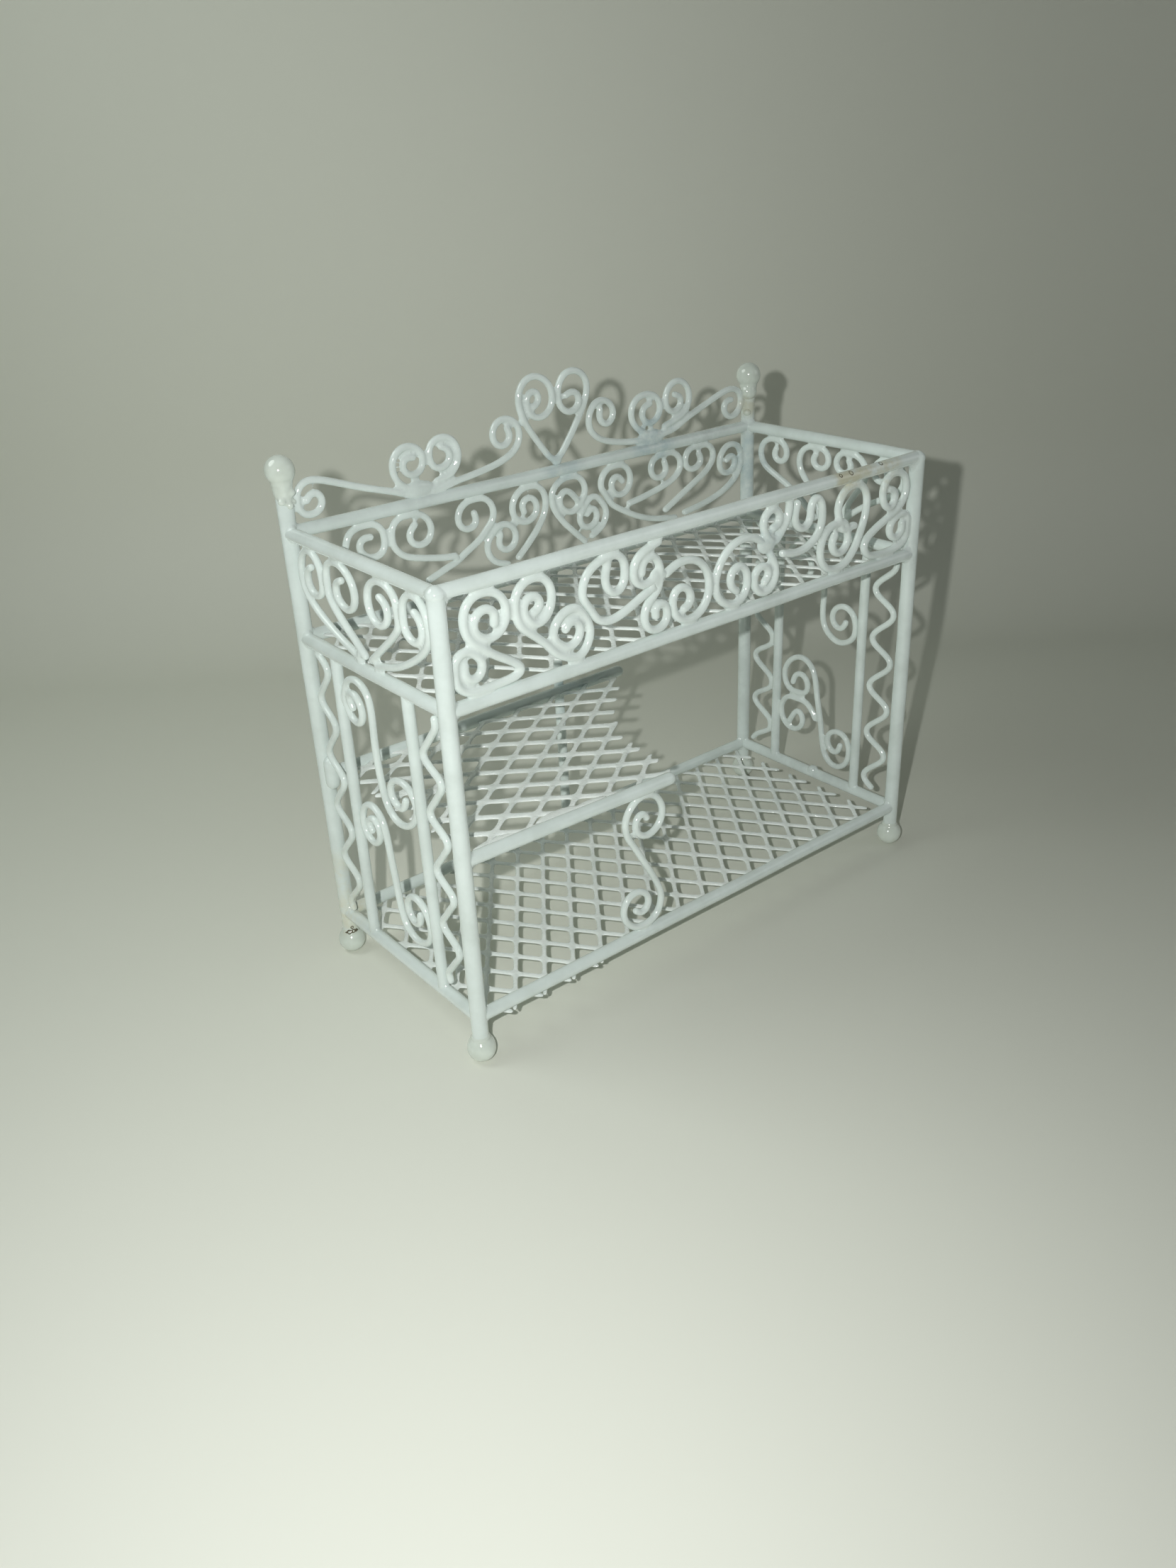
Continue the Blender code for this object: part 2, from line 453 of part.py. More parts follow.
CROOKS = {
    "left_crooks_front": [mirror(LEFT_OUTER_CROOK, 21.0), mirror(LEFT_INNER_CROOK, 21.0)],
    "left_crooks_back": [LEFT_INNER_CROOK, LEFT_OUTER_CROOK],
    "right_crooks_front": [mirror(RIGHT_OUTER_CROOK, 20.3), mirror(RIGHT_INNER_CROOK, 19.5)],
    "right_crooks_back": [RIGHT_INNER_CROOK, RIGHT_OUTER_CROOK],
}


def make_galleries():
    gallery_low, gallery_high = TRAY_Z + RAIL_D / 2, TOP_Z - RAIL_D / 2
    across = (POST_D / 2, WIDTH - POST_D / 2)
    panel(FRONT_GALLERY, (*across, gallery_low, gallery_high), front_place, Vector((0, -1, 0)))
    panel(BACK_GALLERY, (*across, gallery_low, gallery_high), back_place, Vector((0, -1, 0)))
    panel(CREST, (*across, TOP_Z + RAIL_D / 2, TOP_Z + CREST_ROOM), back_place, Vector((0, -1, 0)))
    box = (POST_D / 2, DEPTH - POST_D / 2, gallery_low, gallery_high)
    for side, place in (("left", left_place), ("right", right_place)):
        crooks = {name: wires for name, wires in CROOKS.items() if name.startswith(side)}
        panel(crooks, box, place, Vector((1, 0, 0)))


# The side panels' scrolls, drawn with the front post at the left
def make_side_panels():
    low, high = BASE_Z + RAIL_D / 2, TRAY_Z - RAIL_D / 2
    front_bay = (POST_D / 2, BAR_INSET - BAR_D / 2)
    middle_bay = (BAR_INSET + BAR_D / 2, DEPTH - BAR_INSET - BAR_D / 2)
    back_bay = (DEPTH - BAR_INSET + BAR_D / 2, DEPTH - POST_D / 2)
    for side, place in (("left", left_place), ("right", right_place)):
        front = {f"side_serpentine_{side}_front": [SERPENTINES[side + "_front"]]}
        back = {f"side_serpentine_{side}_back": [SERPENTINES[side + "_back"]]}
        panel(front, (*front_bay, low, high), place, Vector((1, 0, 0)))
        panel(back, (*back_bay, low, high), place, Vector((1, 0, 0)))
    left = {"side_scroll_left_upper": [SIDE_SCROLLS["left_upper"]],
            "side_scroll_left_lower": [SIDE_SCROLLS["left_lower"]]}
    right = {"side_scroll_right_upper": [SIDE_SCROLLS["right_upper"]],
             "side_scroll_right_lower": [SIDE_SCROLLS["right_lower"], SIDE_SCROLLS["right_curl"]]}
    panel(left, (*middle_bay, low, high), left_place, Vector((1, 0, 0)))
    panel(right, (*middle_bay, low, high), right_place, Vector((1, 0, 0)))


SIDE_SCROLLS = {
    "left_upper": [(28.6, 52.8), (29.4, 54.4), (28.0, 55.7), (26.0, 54.8), (25.5, 52.4), (27.0, 50.5),
                   (29.6, 51.0), (30.6, 54.0), (29.2, 57.2), (26.4, 58.3), (23.6, 57.0), (22.7, 54.0),
                   (22.6, 48.0), (22.4, 42.0), (21.2, 38.0), (18.0, 36.2), (14.2, 37.2), (12.0, 40.2),
                   (12.8, 43.1), (15.6, 44.4), (18.5, 43.4), (19.5, 41.0), (18.1, 39.2), (16.0, 39.4),
                   (15.2, 41.2)],
    "left_lower": [(27.6, 30.8), (28.6, 32.0), (27.4, 33.4), (25.6, 32.7), (25.2, 30.4), (26.8, 28.6),
                   (29.2, 29.2), (30.4, 31.8), (29.4, 34.6), (26.8, 35.8), (23.8, 34.4), (22.6, 31.0),
                   (22.2, 26.0), (21.4, 20.0), (19.8, 16.0), (16.6, 14.2), (13.2, 15.6), (11.9, 19.0),
                   (13.0, 22.2), (15.8, 23.2), (18.2, 21.8), (18.8, 19.4), (17.2, 17.6), (15.2, 18.2),
                   (14.8, 20.2)],
    "right_upper": [(26.6, 54.2), (25.4, 55.3), (24.0, 54.4), (23.6, 52.4), (25.0, 50.6), (27.6, 50.8),
                    (29.4, 53.0), (29.0, 56.2), (26.4, 58.2), (23.0, 57.6), (20.8, 55.0), (20.1, 50.0),
                    (20.2, 44.2), (19.0, 41.0), (15.6, 39.2), (12.2, 40.9), (11.7, 44.2), (12.8, 46.4),
                    (14.9, 47.1), (17.0, 46.0), (17.7, 43.9), (16.6, 42.2), (15.0, 42.3), (14.2, 43.8)],
    "right_lower": [(27.4, 27.2), (26.8, 29.0), (25.0, 29.7), (23.5, 28.3), (23.6, 26.1), (25.5, 24.8),
                    (27.8, 25.0), (29.5, 26.7), (29.8, 29.4), (28.2, 32.1), (25.4, 33.3), (22.8, 32.2),
                    (21.4, 29.8), (20.7, 26.2), (19.6, 20.5), (18.7, 15.6), (17.4, 12.8), (15.0, 11.6),
                    (12.4, 13.0), (11.6, 16.4), (12.6, 19.0), (14.6, 19.8), (16.8, 18.8), (17.4, 16.6),
                    (16.2, 14.8), (14.6, 15.0), (14.0, 16.8)],
    "right_curl": [(21.0, 20.6), (22.8, 23.0), (25.6, 24.2), (28.6, 23.6), (30.4, 21.4), (30.5, 18.8),
                   (29.0, 16.8), (26.8, 16.4), (24.8, 17.6), (24.3, 19.8), (25.8, 21.2), (27.2, 19.6),
                   (28.2, 17.9)],
}

SERPENTINES = {
    "left_front": wave(3.3, 8.2, 59.0, 11.0, 57.6, 0.5),
    "left_back": wave(35.2, 39.8, 59.4, 10.0, 56.5, 0.35),
    "right_front": wave(2.5, 8.0, 58.9, 10.4, 57.8, 0.2),
    "right_back": wave(33.0, 38.8, 59.4, 10.4, 55.2, 0.0),
}

MID_SUPPORT = [(36.4, 30.4), (35.8, 31.6), (34.2, 31.0), (33.8, 29.2), (35.0, 27.5), (37.2, 27.1),
               (39.4, 28.6), (40.0, 31.2), (38.5, 33.8), (35.7, 34.9), (33.2, 33.9), (31.7, 31.4),
               (32.1, 28.4), (33.8, 25.4), (36.2, 21.0), (38.2, 17.2), (39.4, 13.8), (38.4, 10.8),
               (36.0, 9.6), (32.8, 10.2), (30.8, 12.7), (31.2, 15.6), (33.5, 16.9), (35.8, 15.8),
               (36.3, 13.6), (34.8, 12.2), (33.4, 13.2)]


def make_mid_support():
    box = (20.0, 60.0, BASE_Z + RAIL_D / 2, MID_Z - RAIL_D / 2)
    panel({"mid_shelf_support_scroll": [MID_SUPPORT]}, box, front_place, Vector((0, -1, 0)))


# ---------------------------------------------------------------- expanded metal

def expanded_metal(name, outline, height, long_axis, anchor):
    """A sheet of expanded metal trimmed to an outline, so that cut strand ends stand along its edges.

    The diamonds are 8.2 mm long and 6.2 mm wide, and long_axis is the way their long diagonals run.
    """
    long_half, short_half = 4.1, 3.1
    along = Vector((0, 1)) if long_axis == "Y" else Vector((1, 0))
    beside = Vector((1, 0)) if long_axis == "Y" else Vector((0, -1))
    strand = beside * short_half - along * long_half
    web = beside * short_half + along * long_half
    lean = abs(strand.x * web.y - strand.y * web.x) / strand.length
    edge_s = WEB_W / 2 / lean
    edge_t = STRAND_W / 2 / lean
    bm = bmesh.new()
    corners = {}

    def corner(i, j, s, t):
        """The corner of hole (i, j) at its near or far side along each strand."""
        key = (i, j, s, t)
        if key not in corners:
            a = i + (1 - edge_s if s else edge_s)
            b = j + (1 - edge_t if t else edge_t)
            spot = Vector(anchor) + strand * a + web * b
            corners[key] = bm.verts.new((*spot, 0))
        return corners[key]

    reach = 22
    xs = [point[0] for point in outline]
    ys = [point[1] for point in outline]
    margin = 9.0
    cells = set()
    for i in range(-reach, reach + 1):
        for j in range(-reach, reach + 1):
            middle = Vector(anchor) + strand * (i + 0.5) + web * (j + 0.5)
            if (min(xs) - margin < middle.x < max(xs) + margin
                    and min(ys) - margin < middle.y < max(ys) + margin):
                cells.add((i, j))
    for i, j in cells:
        if (i, j - 1) in cells:
            bm.faces.new((corner(i, j, 0, 0), corner(i, j, 1, 0), corner(i, j - 1, 1, 1),
                          corner(i, j - 1, 0, 1)))
        if (i - 1, j) in cells:
            bm.faces.new((corner(i, j, 0, 0), corner(i, j, 0, 1), corner(i - 1, j, 1, 1),
                          corner(i - 1, j, 1, 0)))
        if {(i - 1, j), (i, j - 1), (i - 1, j - 1)} <= cells:
            bm.faces.new((corner(i, j, 0, 0), corner(i - 1, j, 1, 0), corner(i - 1, j - 1, 1, 1),
                          corner(i, j - 1, 0, 1)))
    thicken(bm, MESH_T)
    sheet = finish(name, bm, sharp=30.0)
    bm = bmesh.new()
    bm.faces.new([bm.verts.new((x, y, -1.0)) for x, y in outline])
    thicken(bm, 3.0, lift=-1.0)
    join(sheet, finish("trim", bm), "INTERSECT")
    keep_largest(sheet)
    sheet.data.transform(Matrix.Translation(world(0, 0, height - MESH_T / 2) * MM))
    sheet.data.set_sharp_from_angle(angle=math.radians(30.0))
    return sheet


def thicken(bm, thickness, lift=0.0):
    """Raise flat faces into a closed plate."""
    grown = bmesh.ops.extrude_face_region(bm, geom=list(bm.faces))
    tops = [part for part in grown["geom"] if isinstance(part, bmesh.types.BMVert)]
    for vert in tops:
        vert.co.z = lift + thickness


def keep_largest(item):
    """Drop the slivers that the trimming cut loose."""
    bm = bmesh.new()
    bm.from_mesh(item.data)
    left, islands = set(bm.verts), []
    while left:
        seed = left.pop()
        island, edge = {seed}, [seed]
        while edge:
            vert = edge.pop()
            for link in vert.link_edges:
                other = link.other_vert(vert)
                if other in left:
                    left.discard(other)
                    island.add(other)
                    edge.append(other)
        islands.append(island)
    islands.sort(key=len)
    for island in islands[:-1]:
        bmesh.ops.delete(bm, geom=list(island), context="VERTS")
    bm.to_mesh(item.data)
    bm.free()


def make_mesh_panels():
    inside = RAIL_D / 2 + SOLDER_GAP
    tray = [(inside, inside), (WIDTH - inside, inside), (WIDTH - inside, DEPTH - inside),
            (inside, DEPTH - inside)]
    expanded_metal("tray_mesh", tray, TRAY_Z, "Y", (4.5, 14.0))
    under = BASE_Z - RAIL_D / 2 - SOLDER_GAP - MESH_T / 2
    past = POST_D / 2 + SOLDER_GAP
    base = [(past, -1.4), (100.2, -1.4), (100.2, DEPTH + 1.0), (past, DEPTH + 1.0)]
    expanded_metal("base_mesh", base, under, "Y", (82.9, 27.5))
    back = DEPTH - BAR_D / 2 - RAIL_D - 2 * SOLDER_GAP
    shelf = [(1.5, inside), (43.0, inside), (45.2, 8.0), (45.0, 12.0), (46.0, 17.0), (49.0, 23.0),
             (54.0, 28.5), (59.0, 33.0), (62.5, back), (1.5, back)]
    expanded_metal("mid_shelf_mesh", shelf, MID_Z, "X", (22.1, 26.0))


def main():
    clear_scene()
    make_posts()
    make_rails()
    make_bars()
    make_galleries()
    make_side_panels()
    make_mid_support()
    make_mesh_panels()


main()
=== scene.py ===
"""Looks of a dolls' house nursery table, made of soldered wire and dipped in white enamel.

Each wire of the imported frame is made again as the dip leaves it: slightly uneven, rounded at its ends and
webbed where it is soldered to its neighbours. Lengths are in millimetres until a piece is finished, and a
panel is drawn flat: u runs along it from its first post, and v is the height above the frame's datum.
"""
import math
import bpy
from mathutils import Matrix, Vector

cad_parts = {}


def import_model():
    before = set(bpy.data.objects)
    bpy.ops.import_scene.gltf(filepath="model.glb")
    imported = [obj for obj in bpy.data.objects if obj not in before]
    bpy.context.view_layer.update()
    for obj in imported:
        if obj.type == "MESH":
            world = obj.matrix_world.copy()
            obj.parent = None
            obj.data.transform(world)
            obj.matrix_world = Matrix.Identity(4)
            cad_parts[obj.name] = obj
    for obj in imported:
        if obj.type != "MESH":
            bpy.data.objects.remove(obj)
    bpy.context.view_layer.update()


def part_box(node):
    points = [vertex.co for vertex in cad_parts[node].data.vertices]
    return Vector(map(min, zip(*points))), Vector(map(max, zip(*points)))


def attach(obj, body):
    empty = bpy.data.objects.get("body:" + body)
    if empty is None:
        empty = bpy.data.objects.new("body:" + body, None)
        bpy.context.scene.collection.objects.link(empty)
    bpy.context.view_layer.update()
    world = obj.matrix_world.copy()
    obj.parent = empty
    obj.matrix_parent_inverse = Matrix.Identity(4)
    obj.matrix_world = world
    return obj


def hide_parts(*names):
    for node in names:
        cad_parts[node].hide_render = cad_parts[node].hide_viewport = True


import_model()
import zlib

import bmesh
import bpy
import numpy as np
from mathutils import Matrix, Vector

MM = 0.001


# ---------------------------------------------------------------- sizes read from the frame

def middle(node):
    """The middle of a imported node's box, in millimetres."""
    low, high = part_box(node)
    return (low + high) / 2 / MM


FIRST = middle("post_front_left")             # the front left post's axis
BASE_V = 8.0                                  # the base rails' height above the datum
FOOT_V = 2.0                                  # the ball feet's middles
DATUM = middle("base_rail_front").z - BASE_V
WIDTH = middle("post_front_right").x - FIRST.x
DEPTH = middle("post_back_left").y - FIRST.y
TOP_V = middle("tray_top_rail_front").z - DATUM
TRAY_V = middle("tray_floor_rail_front").z - DATUM
MID_V = middle("mid_shelf_rail_front").z - DATUM
BAR_INSET = middle("side_bar_left_front").y - FIRST.y
# Radii with the enamel on; the bent wire is thickest on the front
POST_R, RAIL_R, BAR_R, BALL_R = 1.36, 1.11, 0.95, 2.4
FRONT_R, BACK_R, SIDE_R = 0.70, 0.63, 0.63
UNDER_ENAMEL = 0.94                           # share of a radius that a hidden wire end is drawn at
BAR_LEAN = {("left", "front"): 0.9}           # how far a side bar's head stands off its foot, in y
SAG_LEFT, SAG_RIGHT = 0.4, 1.2                # the middle shelf's front rail hangs down a little
SHEET = 0.5                                   # thickness of the expanded metal
WALL_AWAY = 0.17                              # from the table's middle to the wall, in metres


def world(x, y, v):
    """A point in the row frame, in millimetres, from the front left post's axis and the datum."""
    return np.array([x + FIRST.x, y + FIRST.y, v + DATUM])


def dice(name):
    """The same random numbers for the same piece on every run."""
    return np.random.default_rng(zlib.crc32(name.encode()))


# ---------------------------------------------------------------- mesh parts: (points, faces) pairs

def build(name, points, faces):
    """An object of the scene, made from points and faces."""
    mesh = bpy.data.meshes.new(name)
    mesh.from_pydata([tuple(p) for p in points], [], faces)
    item = bpy.data.objects.new(name, mesh)
    bpy.context.scene.collection.objects.link(item)
    return item


def baked(item):
    """The points and faces of an object after its modifiers; the object itself is thrown away."""
    made = item.evaluated_get(bpy.context.evaluated_depsgraph_get()).to_mesh()
    result = np.array([v.co[:] for v in made.vertices]), [tuple(p.vertices) for p in made.polygons]
    item.to_mesh_clear()
    mesh = item.data
    bpy.data.objects.remove(item, do_unlink=True)
    bpy.data.meshes.remove(mesh)
    return result


def unit(vectors):
    return vectors / (np.linalg.norm(vectors, axis=-1, keepdims=True) + 1e-12)


def wall_faces(rings, sides):
    """Faces between rings of points, closed at both ends."""
    faces = []
    for k in range(rings - 1):
        for c in range(sides):
            n = (c + 1) % sides
            faces.append((k * sides + c, k * sides + n, (k + 1) * sides + n, (k + 1) * sides + c))
    faces.append(tuple(range(sides))[::-1])
    faces.append(tuple((rings - 1) * sides + c for c in range(sides)))
    return faces


def tube(path, radii, normal, sides=12):
    """A closed tube with rounded ends."""
    path = np.asarray(path, float)
    radii = np.broadcast_to(np.asarray(radii, float), (len(path),)).copy()
    along = unit(np.gradient(path, axis=0))
    head, tail = -along[0], along[-1]
    first, last = radii[0], radii[-1]
    shares = (1.0, 0.8, 0.45)
    narrow = [math.sqrt(max(1 - share ** 2, 0.01)) for share in shares]
    path = np.vstack([[path[0] + head * first * share for share in shares], path,
                      [path[-1] + tail * last * share for share in shares[::-1]]])
    radii = np.concatenate([[first * share for share in narrow], radii,
                            [last * share for share in narrow[::-1]]])
    along = np.vstack([np.repeat(along[:1], 3, axis=0), along, np.repeat(along[-1:], 3, axis=0)])
    normal = np.broadcast_to(np.asarray(normal, float), path.shape)
    across = unit(np.cross(along, normal))
    upright = unit(np.cross(across, along))
    turn = np.linspace(0, 2 * math.pi, sides, endpoint=False)
    rim = (np.cos(turn)[None, :, None] * across[:, None, :]
           + np.sin(turn)[None, :, None] * upright[:, None, :])
    points = (path[:, None, :] + rim * radii[:, None, None]).reshape(-1, 3)
    return points, wall_faces(len(path), sides)


def blob(centre, reach, axes=None, rings=8, sides=12):
    """An ellipsoid of solder; reach gives its three half lengths along axes."""
    axes = np.eye(3) if axes is None else np.asarray(axes, float)
    points, faces = [np.array([0, 0, 1.0])], []
    for ring in range(1, rings):
        tilt = math.pi * ring / rings
        for c in range(sides):
            turn = 2 * math.pi * c / sides
            points.append(np.array([math.sin(tilt) * math.cos(turn), math.sin(tilt) * math.sin(turn),
                                    math.cos(tilt)]))
    points.append(np.array([0, 0, -1.0]))
    last = len(points) - 1
    for c in range(sides):
        n = (c + 1) % sides
        faces.append((0, 1 + c, 1 + n))
        faces.append((last, last - sides + n, last - sides + c))
        for ring in range(rings - 2):
            first = 1 + ring * sides
            faces.append((first + c, first + sides + c, first + sides + n, first + n))
    points = np.array(points) * np.asarray(reach, float)
    return points @ axes + np.asarray(centre, float), faces


def merge(parts):
    """Several mesh parts as one, without joining their skins."""
    points, faces, shift = [], [], 0
    for part_points, part_faces in parts:
        points.append(part_points)
        faces += [tuple(k + shift for k in face) for face in part_faces]
        shift += len(part_points)
    return np.vstack(points), faces


def melt(parts, voxel, fillet):
    """Melt mesh parts into one skin. fillet is the radius of the enamel that gathers in every corner."""
    item = build("solid", *merge(parts))

    def relax(rounds):
        ease = item.modifiers.new("relax", "SMOOTH")
        ease.factor = 0.5
        ease.iterations = rounds

    def skin():
        remesh = item.modifiers.new("melt", "REMESH")
        remesh.mode = "VOXEL"
        remesh.voxel_size = voxel
        relax(3)

    def swell(amount):
        push = item.modifiers.new("swell", "DISPLACE")
        push.mid_level = 0.0
        push.strength = amount

    skin()
    swell(fillet)
    skin()
    swell(-fillet)
    relax(2)
    return baked(item)


def piece(name, parts, material, nodes):
    """Make a piece of the object from mesh parts."""
    item = build(name, *merge(parts))
    item.data.transform(Matrix.Scale(MM, 4))
    item.data.shade_smooth()
    item.data.materials.append(material)
    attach(item, "root")
    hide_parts(*nodes)


# ---------------------------------------------------------------- materials

def node(tree, kind, **values):
    """A shader node, with its inputs and its settings given by name."""
    made = tree.nodes.new(kind)
    for key, value in values.items():
        if key in made.inputs:
            made.inputs[key].default_value = value
        else:
            setattr(made, key, value)
    return made


def texture(tree, place, kind, **values):
    """A texture node that reads the object's own coordinates."""
    made = node(tree, kind, **values)
    tree.links.new(place, made.inputs["Vector"])
    return made


def ramp(tree, value, low, high, bottom=0.0, top=1.0, kind="LINEAR"):
    """Bring a value that runs from low to high to one that runs from bottom to top."""
    made = node(tree, "ShaderNodeMapRange", interpolation_type=kind)
    for label, number in (("From Min", low), ("From Max", high), ("To Min", bottom), ("To Max", top)):
        made.inputs[label].default_value = number
    tree.links.new(value, made.inputs["Value"])
    return made.outputs["Result"]


def maths(tree, kind, value, *others):
    """Arithmetic on a socket and on numbers or further sockets."""
    made = node(tree, "ShaderNodeMath", operation=kind)
    tree.links.new(value, made.inputs[0])
    for n, other in enumerate(others, 1):
        if isinstance(other, float):
            made.inputs[n].default_value = other
        else:
            tree.links.new(other, made.inputs[n])
    return made.outputs[0]


def overlay(tree, below, above, amount):
    """Lay a tint over a tint or over another socket's colour."""
    made = node(tree, "ShaderNodeMix", data_type="RGBA")
    for n, colour in ((6, below), (7, above)):
        if isinstance(colour, tuple):
            made.inputs[n].default_value = (*colour, 1.0)
        else:
            tree.links.new(colour, made.inputs[n])
    tree.links.new(amount, made.inputs["Factor"])
    return made.outputs[2]


def plain_material(name):
    """A new material, with its tree, its shader's inputs and the object's own coordinates."""
    material = bpy.data.materials.new(name)
    material.use_nodes = True
    tree = material.node_tree
    place = node(tree, "ShaderNodeTexCoord").outputs["Object"]
    return material, tree, tree.nodes["Principled BSDF"].inputs, place


def enamel(name, light, shade, roughness, speck=0.02, peel=0.06, peel_scale=900.0):
    """Dipped enamel: two close tints, a few dark pinholes and a slight orange peel."""
    material, tree, shader, place = plain_material(name)
    for label, number in (("Metallic", 0.0), ("Diffuse Roughness", 0.25), ("IOR", 1.5),
                          ("Coat Weight", 0.8), ("Coat Roughness", 0.06)):
        shader[label].default_value = number
    link = tree.links.new
    cloud = texture(tree, place, "ShaderNodeTexNoise", Scale=140.0, Detail=4.0, Roughness=0.6).outputs["Fac"]
    tint = overlay(tree, shade, light, ramp(tree, cloud, 0.35, 0.6))
    pits = texture(tree, place, "ShaderNodeTexVoronoi", Scale=95.0, Randomness=1.0)
    chosen = node(tree, "ShaderNodeSeparateColor")
    link(pits.outputs["Color"], chosen.inputs["Color"])
    pit = maths(tree, "LESS_THAN", pits.outputs["Distance"], speck)
    rare = maths(tree, "GREATER_THAN", chosen.outputs[0], 0.55)
    pitted = overlay(tree, tint, PINHOLE, maths(tree, "MULTIPLY", pit, rare))
    link(stained(tree, place, pitted), shader["Base Color"])
    link(ramp(tree, cloud, 0.0, 1.0, roughness * 0.75, roughness * 1.3), shader["Roughness"])
    grain = texture(tree, place, "ShaderNodeTexNoise", Scale=peel_scale, Detail=3.0, Roughness=0.55)
    bump = node(tree, "ShaderNodeBump", Strength=peel, Distance=0.0004)
    link(grain.outputs["Fac"], bump.inputs["Height"])
    link(bump.outputs["Normal"], shader["Normal"])
    return material


SOLDER_BLUE, SOLDER_GREY = (0.44, 0.55, 0.56), (0.50, 0.56, 0.54)
OLD_YELLOW, CHIP_EDGE, PINHOLE = (0.53, 0.51, 0.35), (0.10, 0.085, 0.05), (0.03, 0.035, 0.03)
# Where the enamel is thin over the solder, rubbed or yellowed: a point (x, y, v), how far the change
# reaches from it, the tint and how strong it is
STAINS = [
    ((83.0, -0.4, 79.4), 5.5, OLD_YELLOW, 0.75),
    ((91.0, -0.4, 79.4), 6.5, OLD_YELLOW, 0.7),
    ((0.0, 42.0, 13.0), 10.0, (0.66, 0.66, 0.52), 0.55),
    ((0.0, 42.0, 6.5), 4.5, (0.62, 0.61, 0.45), 0.5),
    ((102.0, 42.0, 83.0), 3.6, OLD_YELLOW, 0.55),
    ((76.0, 42.0, 80.3), 7.0, SOLDER_BLUE, 0.8),
    ((24.0, 42.0, 80.3), 5.0, SOLDER_GREY, 0.3),
    ((54.0, 42.0, 80.0), 6.0, SOLDER_BLUE, 0.5),
    ((102.0, 42.0, 71.0), 9.0, SOLDER_BLUE, 0.7),
    ((90.0, 42.0, 78.6), 8.0, SOLDER_GREY, 0.6),
    ((53.0, 40.0, 37.0), 9.0, SOLDER_BLUE, 0.6),
    ((64.0, 0.0, 71.5), 4.0, SOLDER_BLUE, 0.45),
    ((102.0, 0.0, 61.0), 4.0, SOLDER_GREY, 0.5),
    ((102.0, 21.0, 8.0), 14.0, SOLDER_GREY, 0.45),
    ((102.0, 42.0, 30.0), 16.0, SOLDER_GREY, 0.35),
]
# Chips, each edged with a dark ring: its middle, its radius and half the ring's breadth
CHIPS = [
    ((83.3, -0.62, 79.3), 0.42, 0.07),
    ((80.7, -0.62, 79.3), 0.34, 0.07),
    ((91.2, -0.5, 79.45), 0.36, 0.07),
    ((-0.94, 40.81, 4.26), 0.34, 0.13),
    ((-0.17, 40.56, 4.31), 0.30, 0.12),
    ((0.47, 40.52, 4.23), 0.20, 0.16),
    ((-0.71, 40.35, 3.99), 0.16, 0.12),
    ((-1.40, 41.12, 4.14), 0.16, 0.12),
    ((-0.30, 40.68, 5.10), 0.22, 0.10),
]


def stained(tree, place, colour):
    """Lay the stains and the ring-shaped edges of the chips over the enamel's colour."""
    patch = texture(tree, place, "ShaderNodeTexNoise", Scale=330.0, Detail=5.0, Roughness=0.65)
    ragged = ramp(tree, patch.outputs["Fac"], 0.38, 0.6)

    def distance_from(spot):
        far = node(tree, "ShaderNodeVectorMath", operation="DISTANCE")
        far.inputs[1].default_value = tuple(world(*spot) * MM)
        tree.links.new(place, far.inputs[0])
        return far.outputs["Value"]

    for spot, reach, tint, strength in STAINS:
        fade = ramp(tree, distance_from(spot), reach * MM, reach * 0.45 * MM, 0.0, strength, "SMOOTHSTEP")
        colour = overlay(tree, colour, tint, maths(tree, "MULTIPLY", fade, ragged))
    for spot, radius, band in CHIPS:
        rim = maths(tree, "COMPARE", distance_from(spot), radius * MM, band * MM)
        colour = overlay(tree, colour, CHIP_EDGE, rim)
    return colour


def card(name, near, far, shade_painted_right, away, right):
    """Matt card whose tint changes slightly from the front to the wall, with painted shade that darkens it
    towards its right.
    """
    material, tree, shader, place = plain_material(name)

    def along(direction):
        made = node(tree, "ShaderNodeVectorMath", operation="DOT_PRODUCT")
        made.inputs[1].default_value = tuple(direction)
        tree.links.new(place, made.inputs[0])
        return made.outputs["Value"]

    depth = ramp(tree, along(away), -0.20, 0.12, kind="SMOOTHSTEP")
    # painted shade: the card is darkened towards its right, as if less light reached the wall there
    turn = ramp(tree, along(right), -0.10, 0.16, 0.0, 0.36, "SMOOTHSTEP")
    tint = overlay(tree, overlay(tree, near, far, depth), shade_painted_right, turn)
    tree.links.new(tint, shader["Base Color"])
    shader["Roughness"].default_value = 0.6
    return material


# One white enamel covers the whole table. The scroll copy is painted lighter than the frame's, as painted
# light that makes up for the shading on the thin wires. The mesh copy is painted lighter still, as painted
# light for its brightly lit strands. The ball copy is a little darker.
FRAME_ENAMEL = enamel("frame_enamel", (0.68, 0.76, 0.73), (0.61, 0.685, 0.65), 0.17)
LIGHTENED_SCROLL_ENAMEL = enamel("scroll_enamel", (0.71, 0.79, 0.755), (0.64, 0.715, 0.68), 0.11, speck=0.014)
BALL_ENAMEL = enamel("ball_enamel", (0.66, 0.73, 0.665), (0.58, 0.64, 0.57), 0.12, speck=0.05)
LIGHTENED_MESH_ENAMEL = enamel("mesh_enamel", (0.81, 0.86, 0.83), (0.71, 0.77, 0.74), 0.09, speck=0.012, peel=0.5,
                     peel_scale=1300.0)


# ---------------------------------------------------------------- straight wires

def uneven(count, rng, amount):
    """A slow, small change in thickness along a wire."""
    s = np.linspace(0, 1, count)
    total = np.zeros(count)
    for waves in (2, 5, 9, 17):
        total += np.sin(2 * math.pi * (waves * s + rng.random())) * rng.uniform(0.4, 1.0) / math.sqrt(waves)
    return 1.0 + amount * total


